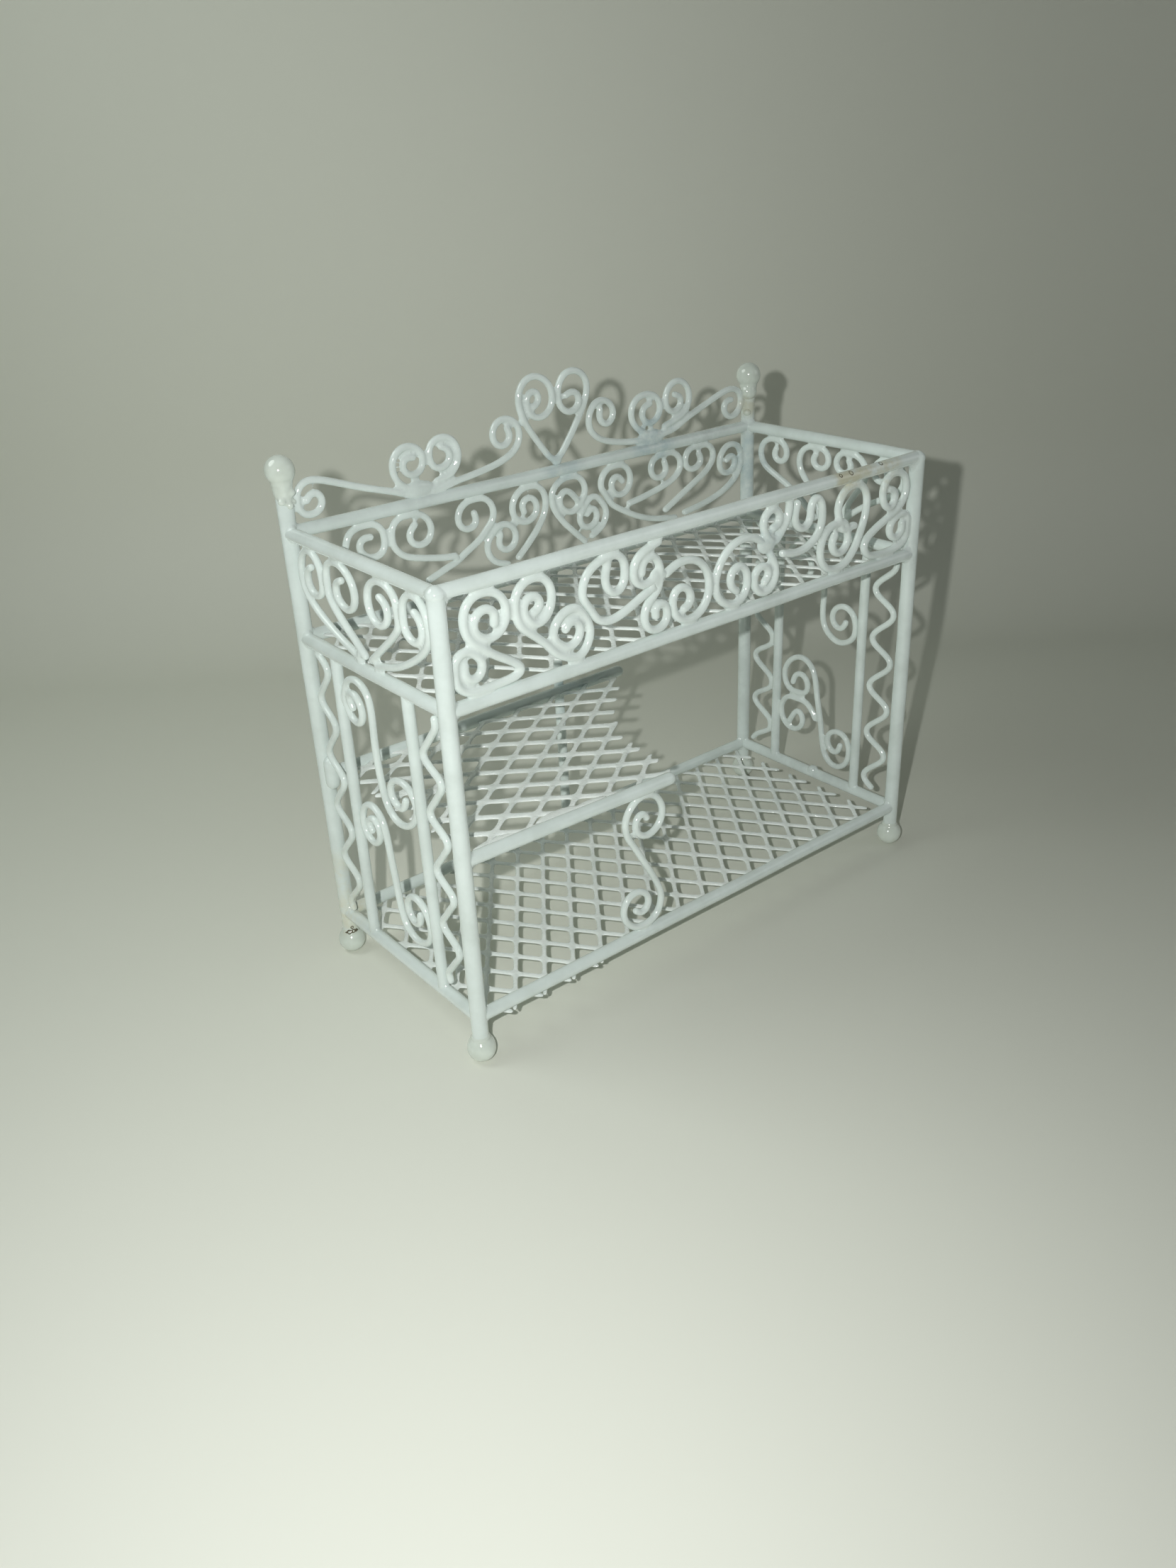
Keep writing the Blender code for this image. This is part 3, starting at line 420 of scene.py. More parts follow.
def straight(name, start, end, radius, ends=(None, None), webs=0.7, across=(0, 0, 1), extra=(),
             low=(False, False)):
    """A straight wire. Where an end runs into a wire of radius ends[n], enamel gathers round the joint;
    low[n] keeps it below the wire, where a post ends at the joint."""
    start, end = np.array(start, float), np.array(end, float)
    length = float(np.linalg.norm(end - start))
    along = (end - start) / length
    rng = dice(name)
    s = np.linspace(0, length, max(12, round(length / 0.5)) + 1)
    radii = radius * uneven(len(s), rng, 0.014)
    normal = np.array([0, 0, 1.0]) if abs(along[2]) < 0.9 else np.array([0, 1.0, 0])
    other = np.cross(along, normal)
    bend = 0.05 * math.sin(rng.uniform(0, 6)) * np.sin(math.pi * s / length)
    wobble = 0.03 * np.sin(2 * math.pi * (s / 37.0 + rng.random()))
    path = start + along * s[:, None] + other * bend[:, None] + normal * wobble[:, None]
    parts = [tube(path, radii, normal, sides=18), *extra]
    across = np.array(across, float)
    steps = np.linspace(0, 1, 9)[:, None]
    for spot, inward, other_r, below in zip((start, end), (along, -along), ends, low):
        if other_r:
            reach = other_r + webs + 2.2
            stub = tube(spot + inward * steps * reach, radius * np.linspace(0.99, 0.88, 9), normal)
            foot = spot - across * (radius + webs)
            rise = radius + webs + (0.0 if below else radius + webs)
            hidden = tube(foot + across * steps * rise, other_r * UNDER_ENAMEL, inward)
            parts.append(melt([stub, hidden], 0.2, webs * rng.uniform(0.85, 1.15)))
    piece(name + "_enamel", parts, FRAME_ENAMEL, [name])


def post_top(x, y, inward):
    """The rounded top of a front post, grown together with the two rails that meet there."""
    top = world(x, y, TOP_V)
    steps = np.linspace(0, 1, 9)[:, None]
    parts = [blob(top - (0, 0, 0.15), (1.5, 1.5, 1.28), rings=16, sides=28)]
    arms = [((0, 0, -4.5), POST_R, (0, 1, 0)), ((4.0 * inward, 0, 0), RAIL_R, (0, 0, 1)),
            ((0, 4.0, 0), RAIL_R, (0, 0, 1))]
    for reach, radius, normal in arms:
        parts.append(tube(top + np.array(reach) * steps, radius * UNDER_ENAMEL, normal))
    return melt(parts, 0.2, 1.5)


def make_frame():
    corners = {"front_left": (0, 0), "front_right": (WIDTH, 0),
               "back_left": (0, DEPTH), "back_right": (WIDTH, DEPTH)}
    finial_v = middle("finial_back_left").z - DATUM
    for corner, (x, y) in corners.items():
        if corner.startswith("back"):
            straight("post_" + corner, world(x, y, FOOT_V), world(x, y, finial_v), POST_R)
        else:
            straight("post_" + corner, world(x, y, FOOT_V), world(x, y, TOP_V - 0.3), POST_R,
                     extra=[post_top(x, y, 1.0 if x == 0 else -1.0)])
    posts = (POST_R, POST_R)
    for level, v, webs in (("tray_top", TOP_V, 0.7), ("tray_floor", TRAY_V, 0.9), ("base", BASE_V, 0.7)):
        for side, y in (("front", 0), ("back", DEPTH)):
            straight(f"{level}_rail_{side}", world(0, y, v), world(WIDTH, y, v), RAIL_R, posts, webs,
                     low=(level == "tray_top" and side == "front",) * 2)
        for side, x in (("left", 0), ("right", WIDTH)):
            lump = blob(world(x, DEPTH / 2, v + 0.5), (1.15, 1.3, 1.15))
            straight(f"{level}_rail_{side}", world(x, 0, v), world(x, DEPTH, v), RAIL_R, posts, webs,
                     extra=[lump] if (level, side) == ("base", "right") else [],
                     low=(level == "tray_top", False))
    rails = (RAIL_R, RAIL_R)
    for side, x in (("left", 0), ("right", WIDTH)):
        for place, y in (("front", BAR_INSET), ("back", DEPTH - BAR_INSET)):
            lean = BAR_LEAN.get((side, place), 0.0)
            straight(f"side_bar_{side}_{place}", world(x, y, BASE_V), world(x, y + lean, TRAY_V),
                     BAR_R, rails, 0.5, across=(0, 1, 0))
    straight("back_centre_bar", world(WIDTH / 2, DEPTH, BASE_V), world(WIDTH / 2, DEPTH, TRAY_V), BAR_R,
             rails, 0.5, across=(1, 0, 0))
    front_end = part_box("mid_shelf_rail_front")[1].x / MM - FIRST.x - 1.2
    back_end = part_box("mid_shelf_rail_back")[1].x / MM - FIRST.x - 0.9
    back_y = middle("mid_shelf_rail_back").y - FIRST.y
    straight("mid_shelf_rail_front", world(0, 0, MID_V - SAG_LEFT), world(front_end, 0, MID_V - SAG_RIGHT),
             RAIL_R, (POST_R, None))
    straight("mid_shelf_rail_back", world(0, back_y, MID_V), world(back_end, back_y, MID_V), RAIL_R,
             (POST_R, None))


def ball_profile(bottom, top):
    """Heights and radii of a ball, from the bottom up, between two heights from its middle."""
    profile = []
    for step in range(25):
        angle = math.pi * step / 24
        height, radius = -BALL_R * math.cos(angle), BALL_R * math.sin(angle)
        if bottom <= height < top:
            profile.append((height, max(radius, 0.02)))
    return profile


def turned(centre, profile, rng, sides=40, lumps=0.02):
    """A solid turned about the vertical, with the small lumps of a dipped bead."""
    points = []
    phase = rng.uniform(0, 6, 4)
    for height, radius in profile:
        for c in range(sides):
            turn = 2 * math.pi * c / sides
            swell = 1 + lumps * (math.sin(2 * turn + phase[0]) * math.cos(height * 1.1 + phase[1])
                                 + 0.6 * math.sin(3 * turn + phase[2] + height))
            swell = min(swell, 1.0)
            points.append((centre[0] + radius * swell * math.cos(turn),
                           centre[1] + radius * swell * math.sin(turn), centre[2] + height))
    return np.array(points), wall_faces(len(profile), sides)


# The neck over a foot and the neck under a finial: height from the ball's middle, and radius
FOOT_NECK = [(2.14, 1.62), (2.3, 1.45), (2.55, 1.34), (2.9, 1.27), (3.3, 1.235)]
FINIAL_NECK = [(-4.6, 1.29), (-4.1, 1.36), (-3.6, 1.5), (-3.1, 1.6), (-2.6, 1.62), (-2.25, 1.68),
               (-2.0, 1.82)]
# Beads of solder under the two finials: shift from the ball's middle, and half lengths
NECK_LUMPS = {
    "back_left": [((0.9, -1.0, -3.4), (0.75, 0.7, 0.6)), ((-0.9, -1.1, -4.6), (0.7, 0.6, 0.55)),
                  ((0.3, -1.3, -5.3), (0.6, 0.5, 0.6)), ((1.2, -0.5, -5.0), (0.6, 0.6, 0.5))],
    "back_right": [((-0.4, -0.5, -3.0), (1.75, 1.6, 1.6)), ((-0.9, -0.7, -7.0), (0.8, 0.8, 0.7))],
}


def make_balls():
    for corner in ("front_left", "front_right", "back_left", "back_right"):
        name = "foot_" + corner
        post = middle("post_" + corner)
        centre = np.array([post.x, post.y, DATUM + FOOT_V])
        flat = centre[2]                      # the ball is cut flat where it meets the ground
        rim = math.sqrt(BALL_R ** 2 - flat ** 2)
        sole = [(-flat, 0.02), (-flat, rim * 0.6), (-flat, rim * 0.97)]
        profile = sole + ball_profile(-flat, 2.05) + FOOT_NECK
        piece(name + "_enamel", [turned(centre, profile, dice(name))], BALL_ENAMEL, [name])
    for corner in ("back_left", "back_right"):
        name = "finial_" + corner
        centre = np.array(middle(name))
        profile = FINIAL_NECK + ball_profile(-1.75, math.inf)
        lumps = [blob(centre + np.array(shift), reach) for shift, reach in NECK_LUMPS[corner]]
        melted = melt([turned(centre, profile, dice(name)), *lumps], 0.14, 0.3)
        piece(name + "_enamel", [melted], BALL_ENAMEL, [name])


# ---------------------------------------------------------------- bent wires

def curl(centre, start_radius, end_radius, start_angle, end_angle):
    """Points along a spiral, with the angles in degrees anticlockwise from +u."""
    count = max(3, round(abs(end_angle - start_angle) / 30.0))
    points = []
    for step in range(count + 1):
        share = step / count
        angle = math.radians(start_angle + (end_angle - start_angle) * share)
        radius = start_radius + (end_radius - start_radius) * share
        points.append((centre[0] + radius * math.cos(angle), centre[1] + radius * math.sin(angle)))
    return points


def wave(u_left, u_right, v_top, v_bottom, v_peak, lean, pitch=10.0):
    """Points of a serpentine wire that swings between two uprights on its way down; lean skews it."""
    centre, reach = (u_left + u_right) / 2, (u_right - u_left) / 2
    count = round((v_top - v_bottom) / pitch * 8)
    points = []
    for step in range(count + 1):
        v = v_top - (v_top - v_bottom) * step / count
        swing = 2 * math.pi * (v_peak - v) / pitch
        points.append((centre - reach * math.cos(swing + lean * math.cos(swing)), v))
    return points


def mirror(points, about):
    """The same wire turned over about an upright line."""
    return [(2 * about - u, v) for u, v in points]


def smooth_path(points, spacing):
    """A Catmull-Rom curve through the points, read off at an even spacing."""
    knots = np.array(points, float)
    knots = np.vstack([2 * knots[0] - knots[1], knots, 2 * knots[-1] - knots[-2]])
    dense = []
    for p0, p1, p2, p3 in zip(knots, knots[1:], knots[2:], knots[3:]):
        for t in np.linspace(0, 1, 12, endpoint=False):
            dense.append(0.5 * (2 * p1 + (p2 - p0) * t + (2 * p0 - 5 * p1 + 4 * p2 - p3) * t * t
                                + (3 * p1 - p0 - 3 * p2 + p3) * t ** 3))
    dense.append(knots[-2])
    dense = np.array(dense)
    reach = np.concatenate([[0], np.cumsum(np.linalg.norm(np.diff(dense, axis=0), axis=1))])
    marks = np.linspace(0, reach[-1], max(4, round(reach[-1] / spacing)) + 1)
    return np.column_stack([np.interp(marks, reach, dense[:, axis]) for axis in (0, 1)])


def settle(wires, box, touch=1.18, spacing=0.5, rounds=130):
    """Ease crossing wires apart until they only touch, inside the panel's box."""
    paths = [smooth_path(points, spacing) for points in wires]
    owner = np.concatenate([np.full(len(path), n) for n, path in enumerate(paths)])
    index = np.concatenate([np.arange(len(path)) for path in paths])
    far_along = np.abs(index[:, None] - index[None, :]) * spacing > 2.4 * touch
    rivals = (owner[:, None] != owner[None, :]) | far_along
    low = np.array([box[0] + touch * 0.45, box[2] + touch * 0.45])
    high = np.array([box[1] - touch * 0.45, box[3] - touch * 0.45])
    spots = np.vstack(paths)
    starts = np.cumsum([0] + [len(path) for path in paths])
    for step in range(rounds):
        spots = np.clip(spots, low, high)
        across = spots[:, 0][:, None] - spots[:, 0][None, :]
        up = spots[:, 1][:, None] - spots[:, 1][None, :]
        k, n = np.nonzero(rivals & (across * across + up * up < touch ** 2))
        apart = spots[k] - spots[n]
        distance = np.linalg.norm(apart, axis=1)[:, None] + 1e-9
        push = np.zeros_like(spots)
        np.add.at(push, k, apart / distance * (touch - distance))
        crowd = np.maximum(1.0, np.bincount(k, minlength=len(spots)) * 0.5)
        move = 0.5 * push / crowd[:, None]
        for first, last in zip(starts, starts[1:]):
            part = move[first:last]
            for _ in range(3 if step < rounds * 0.75 else 1):
                padded = np.vstack([part[:1], part, part[-1:]])
                part = 0.25 * padded[:-2] + 0.5 * padded[1:-1] + 0.25 * padded[2:]
            move[first:last] = part * 1.6
        spots = spots + move
    spots = np.clip(spots, low, high)
    return [spots[first:last] for first, last in zip(starts, starts[1:])]


def rounded(path):
    """Take the last small kinks out of a settled wire."""
    for _ in range(4):
        path = np.vstack([path[:1], 0.25 * path[:-2] + 0.5 * path[1:-1] + 0.25 * path[2:], path[-1:]])
    return path


def contacts(first, second, reach):
    """The spots where one wire comes within reach of another and runs closest to it."""
    gaps = np.linalg.norm(first[:, None, :] - second[None, :, :], axis=2)
    nearest, partner = gaps.min(axis=1), gaps.argmin(axis=1)
    found = []
    for k in range(len(first)):
        around = nearest[max(0, k - 5):k + 6]
        if nearest[k] <= reach and nearest[k] == around.min():
            spot = (first[k] + second[partner[k]]) / 2
            if all(np.linalg.norm(spot - other) > 1.5 for other in found):
                found.append(spot)
    return found


# Where the solder ran and the dip stayed thick: the middle of each mass and its half lengths
MASSES = {
    "crest_scroll_left": [(24.0, 80.8, 3.5, 1.5, 0.85), (29.4, 80.5, 2.2, 0.55, 0.6)],
    "crest_scroll_right": [(76.2, 80.5, 3.1, 1.7, 0.8)],
    "crest_heart": [(53.4, 80.3, 1.1, 0.9, 0.7), (46.5, 88.3, 0.9, 0.9, 0.65)],
    "front_scroll_5": [(63.8, 71.4, 2.2, 1.9, 0.68)],
    "front_scroll_3": [(39.4, 71.2, 1.3, 1.7, 0.66)],
}


def edge_joints(path, place, axes, edge, rng):
    """Solder where a bent wire meets a wire at the panel's edge, and that wire's own hidden stretch."""
    axis, centre, edge_radius, lean = edge
    value = centre + lean * (path[:, 1] - BASE_V) / (TRAY_V - BASE_V)
    gap = np.abs(path[:, axis] - value) - edge_radius
    parts = []
    for m in range(len(path)):
        if gap[m] <= 0.75 and gap[m] == gap[max(0, m - 5):m + 6].min():
            spot = path[m].copy()
            spot[axis] = value[m]
            reach = rng.uniform(1.2, 1.7)
            shift = np.array([0.0, reach] if axis == 0 else [reach, 0.0])
            line = spot + shift * np.linspace(-1, 1, 9)[:, None]
            parts.append(tube([place(u, v) for u, v in line], edge_radius * 0.92, axes[2]))
            spot[axis] += math.copysign(edge_radius, path[m, axis] - value[m])
            long, tall = rng.uniform(0.8, 1.25), rng.uniform(0.4, 0.55)
            half = (long, tall) if axis == 1 else (tall, long)
            parts.append(blob(place(*spot), (*half, 0.56), axes=axes, rings=6, sides=12))
    return parts


def panel(groups, box, place, normal, edges, radius):
    """Build the scroll pieces of one flat panel. edges gives the wires around it: axis, middle, radius
    and how far the wire leans over the frame's height."""
    normal = np.array(normal, float)
    axes = np.array([place(1, 0) - place(0, 0), place(0, 1) - place(0, 0), normal])
    wires = [wire for group in groups.values() for wire in group]
    paths = [rounded(path) for path in settle(wires, box)]
    owners = [name for name, group in groups.items() for _ in group]
    for name in groups:
        rng = dice(name)
        parts = []
        for k, path in enumerate(paths):
            if owners[k] != name:
                continue
            lift = 0.09 * np.sin(2 * math.pi * (np.arange(len(path)) / 31.0 + rng.random()))
            solid = np.array([place(u, v) for u, v in path]) + normal * lift[:, None]
            parts.append(tube(solid, radius * uneven(len(path), rng, 0.014), normal, sides=14))
            for other in paths[k + 1:]:
                for spot in contacts(path, other, 1.34):
                    size = rng.uniform(0.58, 0.78)
                    parts.append(blob(place(*spot), (size, size * 0.95, size), rings=6, sides=10))
            for edge in edges:
                parts += edge_joints(path, place, axes, edge, rng)
        for u, v, *reach in MASSES.get(name, ()):
            parts.append(blob(place(u, v), reach, axes=axes, rings=8, sides=16))
        piece(name + "_enamel", [melt(parts, 0.17, 0.24)], LIGHTENED_SCROLL_ENAMEL, [name])


def front_place(u, v):
    return world(u, 0, v)


def back_place(u, v):
    return world(u, DEPTH, v)


def left_place(u, v):
    return world(0, u, v)


def right_place(u, v):
    return world(WIDTH, u, v)


FRONT_GALLERY = {
    "front_scroll_1": [
        [(9.1, 72.0), (9.3, 73.6), (7.9, 74.6), (6.3, 74.2), (5.5, 72.6), (6.1, 70.8), (7.9, 69.9),
         (9.9, 70.4), (11.1, 72.0), (11.2, 74.3), (10.0, 76.2), (7.9, 77.0), (5.9, 76.7), (4.4, 75.2),
         (4.0, 73.0), (4.6, 70.9), (6.2, 69.2), (9.2, 67.1), (12.2, 65.2), (13.5, 63.8), (11.5, 63.0),
         (8.0, 62.9), (4.4, 62.9), (2.3, 64.1), (1.6, 66.4), (2.3, 68.5), (4.2, 69.3), (6.0, 68.3),
         (6.6, 66.4), (5.8, 64.9), (4.4, 64.7), (3.4, 65.8), (3.6, 67.2)],
        [(16.0, 71.8), (17.2, 72.2), (17.3, 73.5), (16.1, 74.4), (14.7, 74.0), (14.0, 72.4), (14.8, 70.6),
         (16.5, 69.9), (18.3, 70.7), (19.4, 72.6), (19.3, 75.0), (17.8, 76.7), (15.6, 77.0), (13.6, 76.0),
         (12.7, 73.8), (13.4, 71.3), (15.0, 69.2), (17.6, 66.8), (19.9, 64.8), (21.9, 63.3), (24.2, 62.9),
         (26.0, 64.9), (26.3, 67.6), (25.3, 69.9), (22.9, 70.8), (20.6, 70.0), (19.2, 67.9), (19.7, 65.9),
         (21.5, 64.8), (23.4, 65.2), (24.4, 66.9), (23.7, 68.6), (22.2, 68.9), (21.5, 67.8)]],
    "front_scroll_2": [
        [(29.9, 75.8), (29.3, 73.7), (29.8, 71.8), (31.3, 70.9), (32.9, 71.8), (33.4, 73.8), (33.0, 75.9),
         (31.2, 77.0), (28.4, 76.6), (26.0, 75.2), (25.0, 72.8), (25.3, 70.3), (26.8, 68.2), (28.8, 67.1),
         (31.0, 67.0), (34.0, 68.0), (37.0, 69.2), (38.8, 69.9)]],
    "front_scroll_3": [
        [(40.0, 77.0), (37.4, 76.2), (35.4, 74.8), (34.9, 72.8), (35.8, 71.2), (37.6, 70.7), (39.0, 71.2)],
        [(36.6, 72.8), (36.8, 74.6), (38.6, 75.2), (40.2, 73.4), (40.4, 71.0), (39.5, 69.0), (37.6, 67.4),
         (36.9, 65.4), (37.6, 63.6), (39.5, 62.9), (41.4, 63.8), (41.9, 65.8), (40.7, 67.1), (39.2, 66.6),
         (39.3, 65.2)]],
    "front_scroll_4": [
        [(41.4, 71.5), (43.8, 72.6), (46.4, 72.7), (48.9, 71.6), (50.6, 69.3), (50.8, 66.5), (49.7, 64.3),
         (47.6, 63.0), (45.2, 63.0), (43.3, 64.3), (42.8, 66.4), (43.7, 68.3), (45.4, 68.5), (46.7, 67.2),
         (46.5, 65.4), (45.2, 64.9)],
        [(63.4, 71.4), (61.2, 72.8), (58.4, 73.4), (55.6, 72.7), (53.4, 70.6), (52.2, 67.4), (52.8, 64.8),
         (54.6, 63.2), (56.9, 62.9), (58.8, 64.0), (59.5, 66.1), (59.0, 68.2), (57.3, 69.1), (55.7, 68.0),
         (55.6, 66.0), (56.8, 65.0)]],
    "front_scroll_5": [
        [(64.8, 71.6), (63.2, 73.2), (62.8, 75.0), (63.8, 76.5), (65.6, 76.8), (66.9, 75.6), (66.6, 73.9),
         (65.3, 73.6)],
        [(66.1, 71.4), (67.5, 73.0), (68.7, 74.8), (69.0, 76.9)],
        [(64.6, 69.4), (65.8, 67.4), (66.0, 65.2), (64.9, 63.4), (62.9, 63.0), (61.3, 64.4), (61.1, 66.4),
         (62.3, 67.8), (63.9, 67.4), (64.5, 65.9), (63.4, 64.9)]],
    "front_scroll_6": [
        [(70.8, 76.6), (70.3, 74.4), (71.2, 72.5), (73.0, 71.9), (74.4, 73.2), (74.3, 75.2), (75.2, 76.8),
         (76.7, 75.9), (77.2, 73.6), (76.9, 71.2), (75.4, 69.3), (73.0, 68.3), (70.4, 68.2), (67.6, 68.8)],
        curl((85.0, 73.3), 3.7, 3.9, -80, -360)
        + [(88.5, 70.7), (87.2, 67.9), (85.7, 65.3), (83.7, 63.4), (81.2, 62.9), (78.8, 63.6), (77.3, 65.5),
           (77.1, 68.0), (78.3, 70.2), (80.6, 71.1), (83.0, 70.4), (84.2, 68.5), (83.9, 66.5), (82.3, 65.5),
           (80.5, 66.1), (79.8, 67.7), (80.6, 69.1)]],
    "front_scroll_7": [
        [(94.5, 74.3), (95.9, 74.0), (96.5, 72.4), (95.2, 70.8), (93.6, 71.6), (92.9, 73.6), (93.6, 75.8),
         (95.6, 77.0), (98.0, 76.6), (99.3, 74.9), (99.2, 72.6), (97.8, 70.7), (95.4, 69.4), (92.0, 68.0),
         (89.4, 66.7), (88.4, 65.2), (89.5, 63.6), (92.0, 63.0), (96.0, 62.9), (99.0, 63.4), (100.9, 65.2),
         (101.0, 67.4), (99.8, 69.0), (97.6, 69.2), (95.8, 68.0), (95.6, 66.0), (97.2, 64.9), (98.9, 65.8),
         (98.8, 67.4)]],
}

BACK_GALLERY = {
    "back_scroll_1": [
        [(9.3, 74.0), (10.2, 76.1), (12.6, 77.1), (15.2, 76.8), (16.7, 75.3), (16.9, 73.3), (15.9, 71.7),
         (14.2, 71.3), (12.5, 72.1), (11.8, 73.6), (12.7, 74.9), (14.2, 74.8)],
        [(22.8, 75.1), (21.6, 74.0), (21.6, 72.4), (23.2, 71.4), (25.0, 71.8), (26.0, 73.5), (25.4, 75.6),
         (23.4, 76.9), (20.6, 77.1), (18.6, 76.0), (17.8, 73.8), (18.7, 71.6), (20.6, 70.0), (24.0, 69.0),
         (28.0, 68.2), (30.2, 67.8)]],
    "back_scroll_2": [
        [(24.4, 65.0), (28.0, 66.2), (31.5, 67.6), (35.0, 69.3), (37.6, 71.1), (38.8, 73.2), (38.6, 75.4),
         (36.9, 76.9), (34.4, 77.1), (32.2, 76.0), (31.4, 74.2), (32.0, 72.5), (33.8, 72.0), (35.2, 73.0),
         (34.8, 74.6)],
        [(43.6, 64.7), (46.0, 66.8), (48.5, 69.2), (50.1, 71.6), (50.5, 74.0), (49.4, 76.2), (47.2, 77.1),
         (44.6, 76.5), (43.1, 74.6), (43.2, 72.3), (44.9, 70.8), (47.0, 70.9), (48.4, 72.4), (47.9, 74.4),
         (46.3, 75.1), (45.0, 74.0), (45.5, 72.6)],
        [(41.2, 64.0), (38.6, 64.9), (37.2, 66.7), (37.2, 69.0), (38.6, 71.0), (41.0, 71.4), (42.9, 70.3),
         (43.4, 68.3), (42.3, 66.7), (40.6, 66.6), (39.5, 68.0), (40.0, 69.7)]],
    "back_scroll_3": [
        [(59.0, 64.3), (56.4, 66.7), (53.8, 69.4), (52.1, 72.2), (51.9, 74.6), (53.5, 76.4), (56.2, 77.1),
         (58.6, 76.2), (59.7, 74.0), (59.2, 71.8), (57.4, 70.4), (55.2, 70.6), (53.6, 72.0), (53.6, 73.8),
         (55.0, 74.7), (56.6, 73.6), (57.6, 72.4)],
        [(60.8, 64.9), (63.2, 66.2), (64.4, 68.2), (64.3, 70.3), (62.8, 72.0), (60.4, 72.2), (58.6, 70.9),
         (57.9, 68.9), (58.7, 67.1), (60.6, 66.7), (62.1, 67.8), (62.1, 69.5), (60.8, 70.3), (59.9, 69.2)]],
    "back_scroll_4": [
        [(82.0, 64.0), (77.0, 64.8), (72.5, 66.2), (68.0, 68.5), (65.0, 70.6), (63.4, 73.0), (63.6, 75.4),
         (65.6, 77.0), (68.4, 77.0), (70.4, 75.4), (70.7, 73.2), (69.4, 71.5), (67.4, 71.3), (65.9, 72.6),
         (66.0, 74.4), (67.5, 75.0), (68.6, 73.8)],
        [(70.2, 69.2), (74.0, 69.7), (78.0, 70.6), (81.6, 71.8), (83.5, 73.6), (83.3, 75.6), (81.3, 77.0),
         (78.6, 77.1), (76.3, 76.2), (75.7, 74.4), (76.6, 72.9), (78.5, 72.6), (79.9, 73.7), (79.4, 75.4)]],
    "back_scroll_5": [
        [(79.4, 66.1), (83.0, 67.9), (87.0, 69.8), (90.4, 71.6), (92.2, 73.6), (92.0, 75.8), (90.0, 77.1),
         (87.2, 77.1), (85.2, 76.0), (84.8, 74.0), (86.0, 72.7), (87.8, 72.8), (89.1, 74.0), (88.4, 75.4)],
        [(84.6, 64.5), (89.0, 65.1), (94.0, 66.4), (98.0, 68.4), (100.1, 71.0), (100.2, 73.6), (98.6, 75.5),
         (96.0, 75.6), (94.3, 73.9), (94.2, 71.6), (95.8, 70.1), (98.0, 70.6), (98.6, 72.4), (97.3, 73.6),
         (96.0, 72.8)]],
}

CREST = {
    "crest_scroll_left": [
        [(21.0, 80.9), (17.0, 82.1), (13.0, 83.4), (9.0, 84.9), (6.0, 85.9), (3.7, 86.0), (2.3, 84.6),
         (2.1, 82.4), (3.2, 80.8), (5.2, 80.7), (6.5, 82.0), (6.1, 83.7), (4.6, 84.1), (3.7, 83.0)],
        [(22.6, 81.0), (20.6, 82.5), (19.7, 84.5), (20.0, 86.7), (21.8, 88.1), (24.1, 87.9), (25.7, 86.4),
         (25.6, 84.5), (24.2, 83.3), (22.4, 83.6), (21.5, 85.0), (22.2, 86.4), (23.7, 86.2)],
        [(28.0, 80.9), (30.6, 81.9), (32.3, 83.8), (32.6, 86.0), (31.4, 88.0), (29.2, 88.5), (27.3, 87.5),
         (26.8, 85.5), (27.6, 83.8), (29.3, 83.5), (30.8, 84.5), (30.8, 86.2), (29.3, 87.0)],
        [(27.0, 80.4), (32.0, 80.8), (37.0, 81.4), (41.5, 82.4), (44.5, 84.0), (45.6, 86.2), (45.0, 88.3),
         (43.0, 89.4), (40.8, 88.9), (39.8, 87.0), (40.6, 85.2), (42.4, 84.9), (43.6, 86.3), (43.0, 87.8)]],
    "crest_heart": [
        [(48.8, 90.4), (50.2, 91.2), (49.8, 92.9), (48.2, 93.0), (47.5, 91.4), (48.0, 89.5), (49.5, 88.4),
         (51.4, 88.6), (52.8, 90.0), (53.1, 92.2), (52.1, 94.3), (49.8, 95.5), (47.6, 95.1), (46.1, 93.4),
         (45.8, 91.1), (46.6, 88.5), (48.4, 85.8), (50.6, 82.9), (52.2, 80.9), (53.2, 80.5), (54.2, 81.0),
         (56.2, 83.5), (58.6, 86.7), (60.4, 89.6), (61.1, 92.2), (60.3, 94.2), (58.4, 95.3), (56.1, 95.1),
         (54.7, 93.3), (54.4, 91.0), (55.3, 89.1), (57.1, 88.2), (58.9, 89.2), (59.0, 90.9), (57.6, 91.9),
         (56.1, 91.3)]],
    "crest_scroll_right": [
        [(74.5, 80.4), (70.0, 80.8), (65.5, 81.7), (62.4, 83.2), (61.0, 85.4), (61.6, 87.9), (63.4, 89.3),
         (65.9, 88.8), (67.1, 86.9), (66.3, 85.1), (64.6, 84.9), (63.5, 86.3), (63.8, 87.8)],
        [(74.6, 81.6), (72.6, 82.9), (71.3, 85.0), (71.7, 87.3), (73.5, 88.6), (76.2, 88.6), (78.1, 87.2),
         (78.5, 85.2), (77.2, 83.5), (75.2, 83.4), (73.9, 84.7), (74.2, 86.4), (75.8, 86.9)],
        [(79.6, 81.9), (83.0, 82.9), (85.4, 84.6), (86.1, 87.0), (85.0, 89.2), (82.7, 90.1), (80.5, 89.1),
         (79.7, 87.0), (80.4, 85.1), (82.2, 84.4), (83.8, 85.4), (83.8, 87.0), (82.2, 87.6)],
        [(78.0, 80.7), (82.0, 81.7), (86.0, 83.0), (90.0, 84.5), (94.0, 85.9), (97.2, 86.5), (99.5, 85.6),
         (100.1, 83.5), (98.9, 81.6), (96.8, 81.1), (95.2, 82.4), (95.5, 84.2), (97.2, 84.4)]],
}

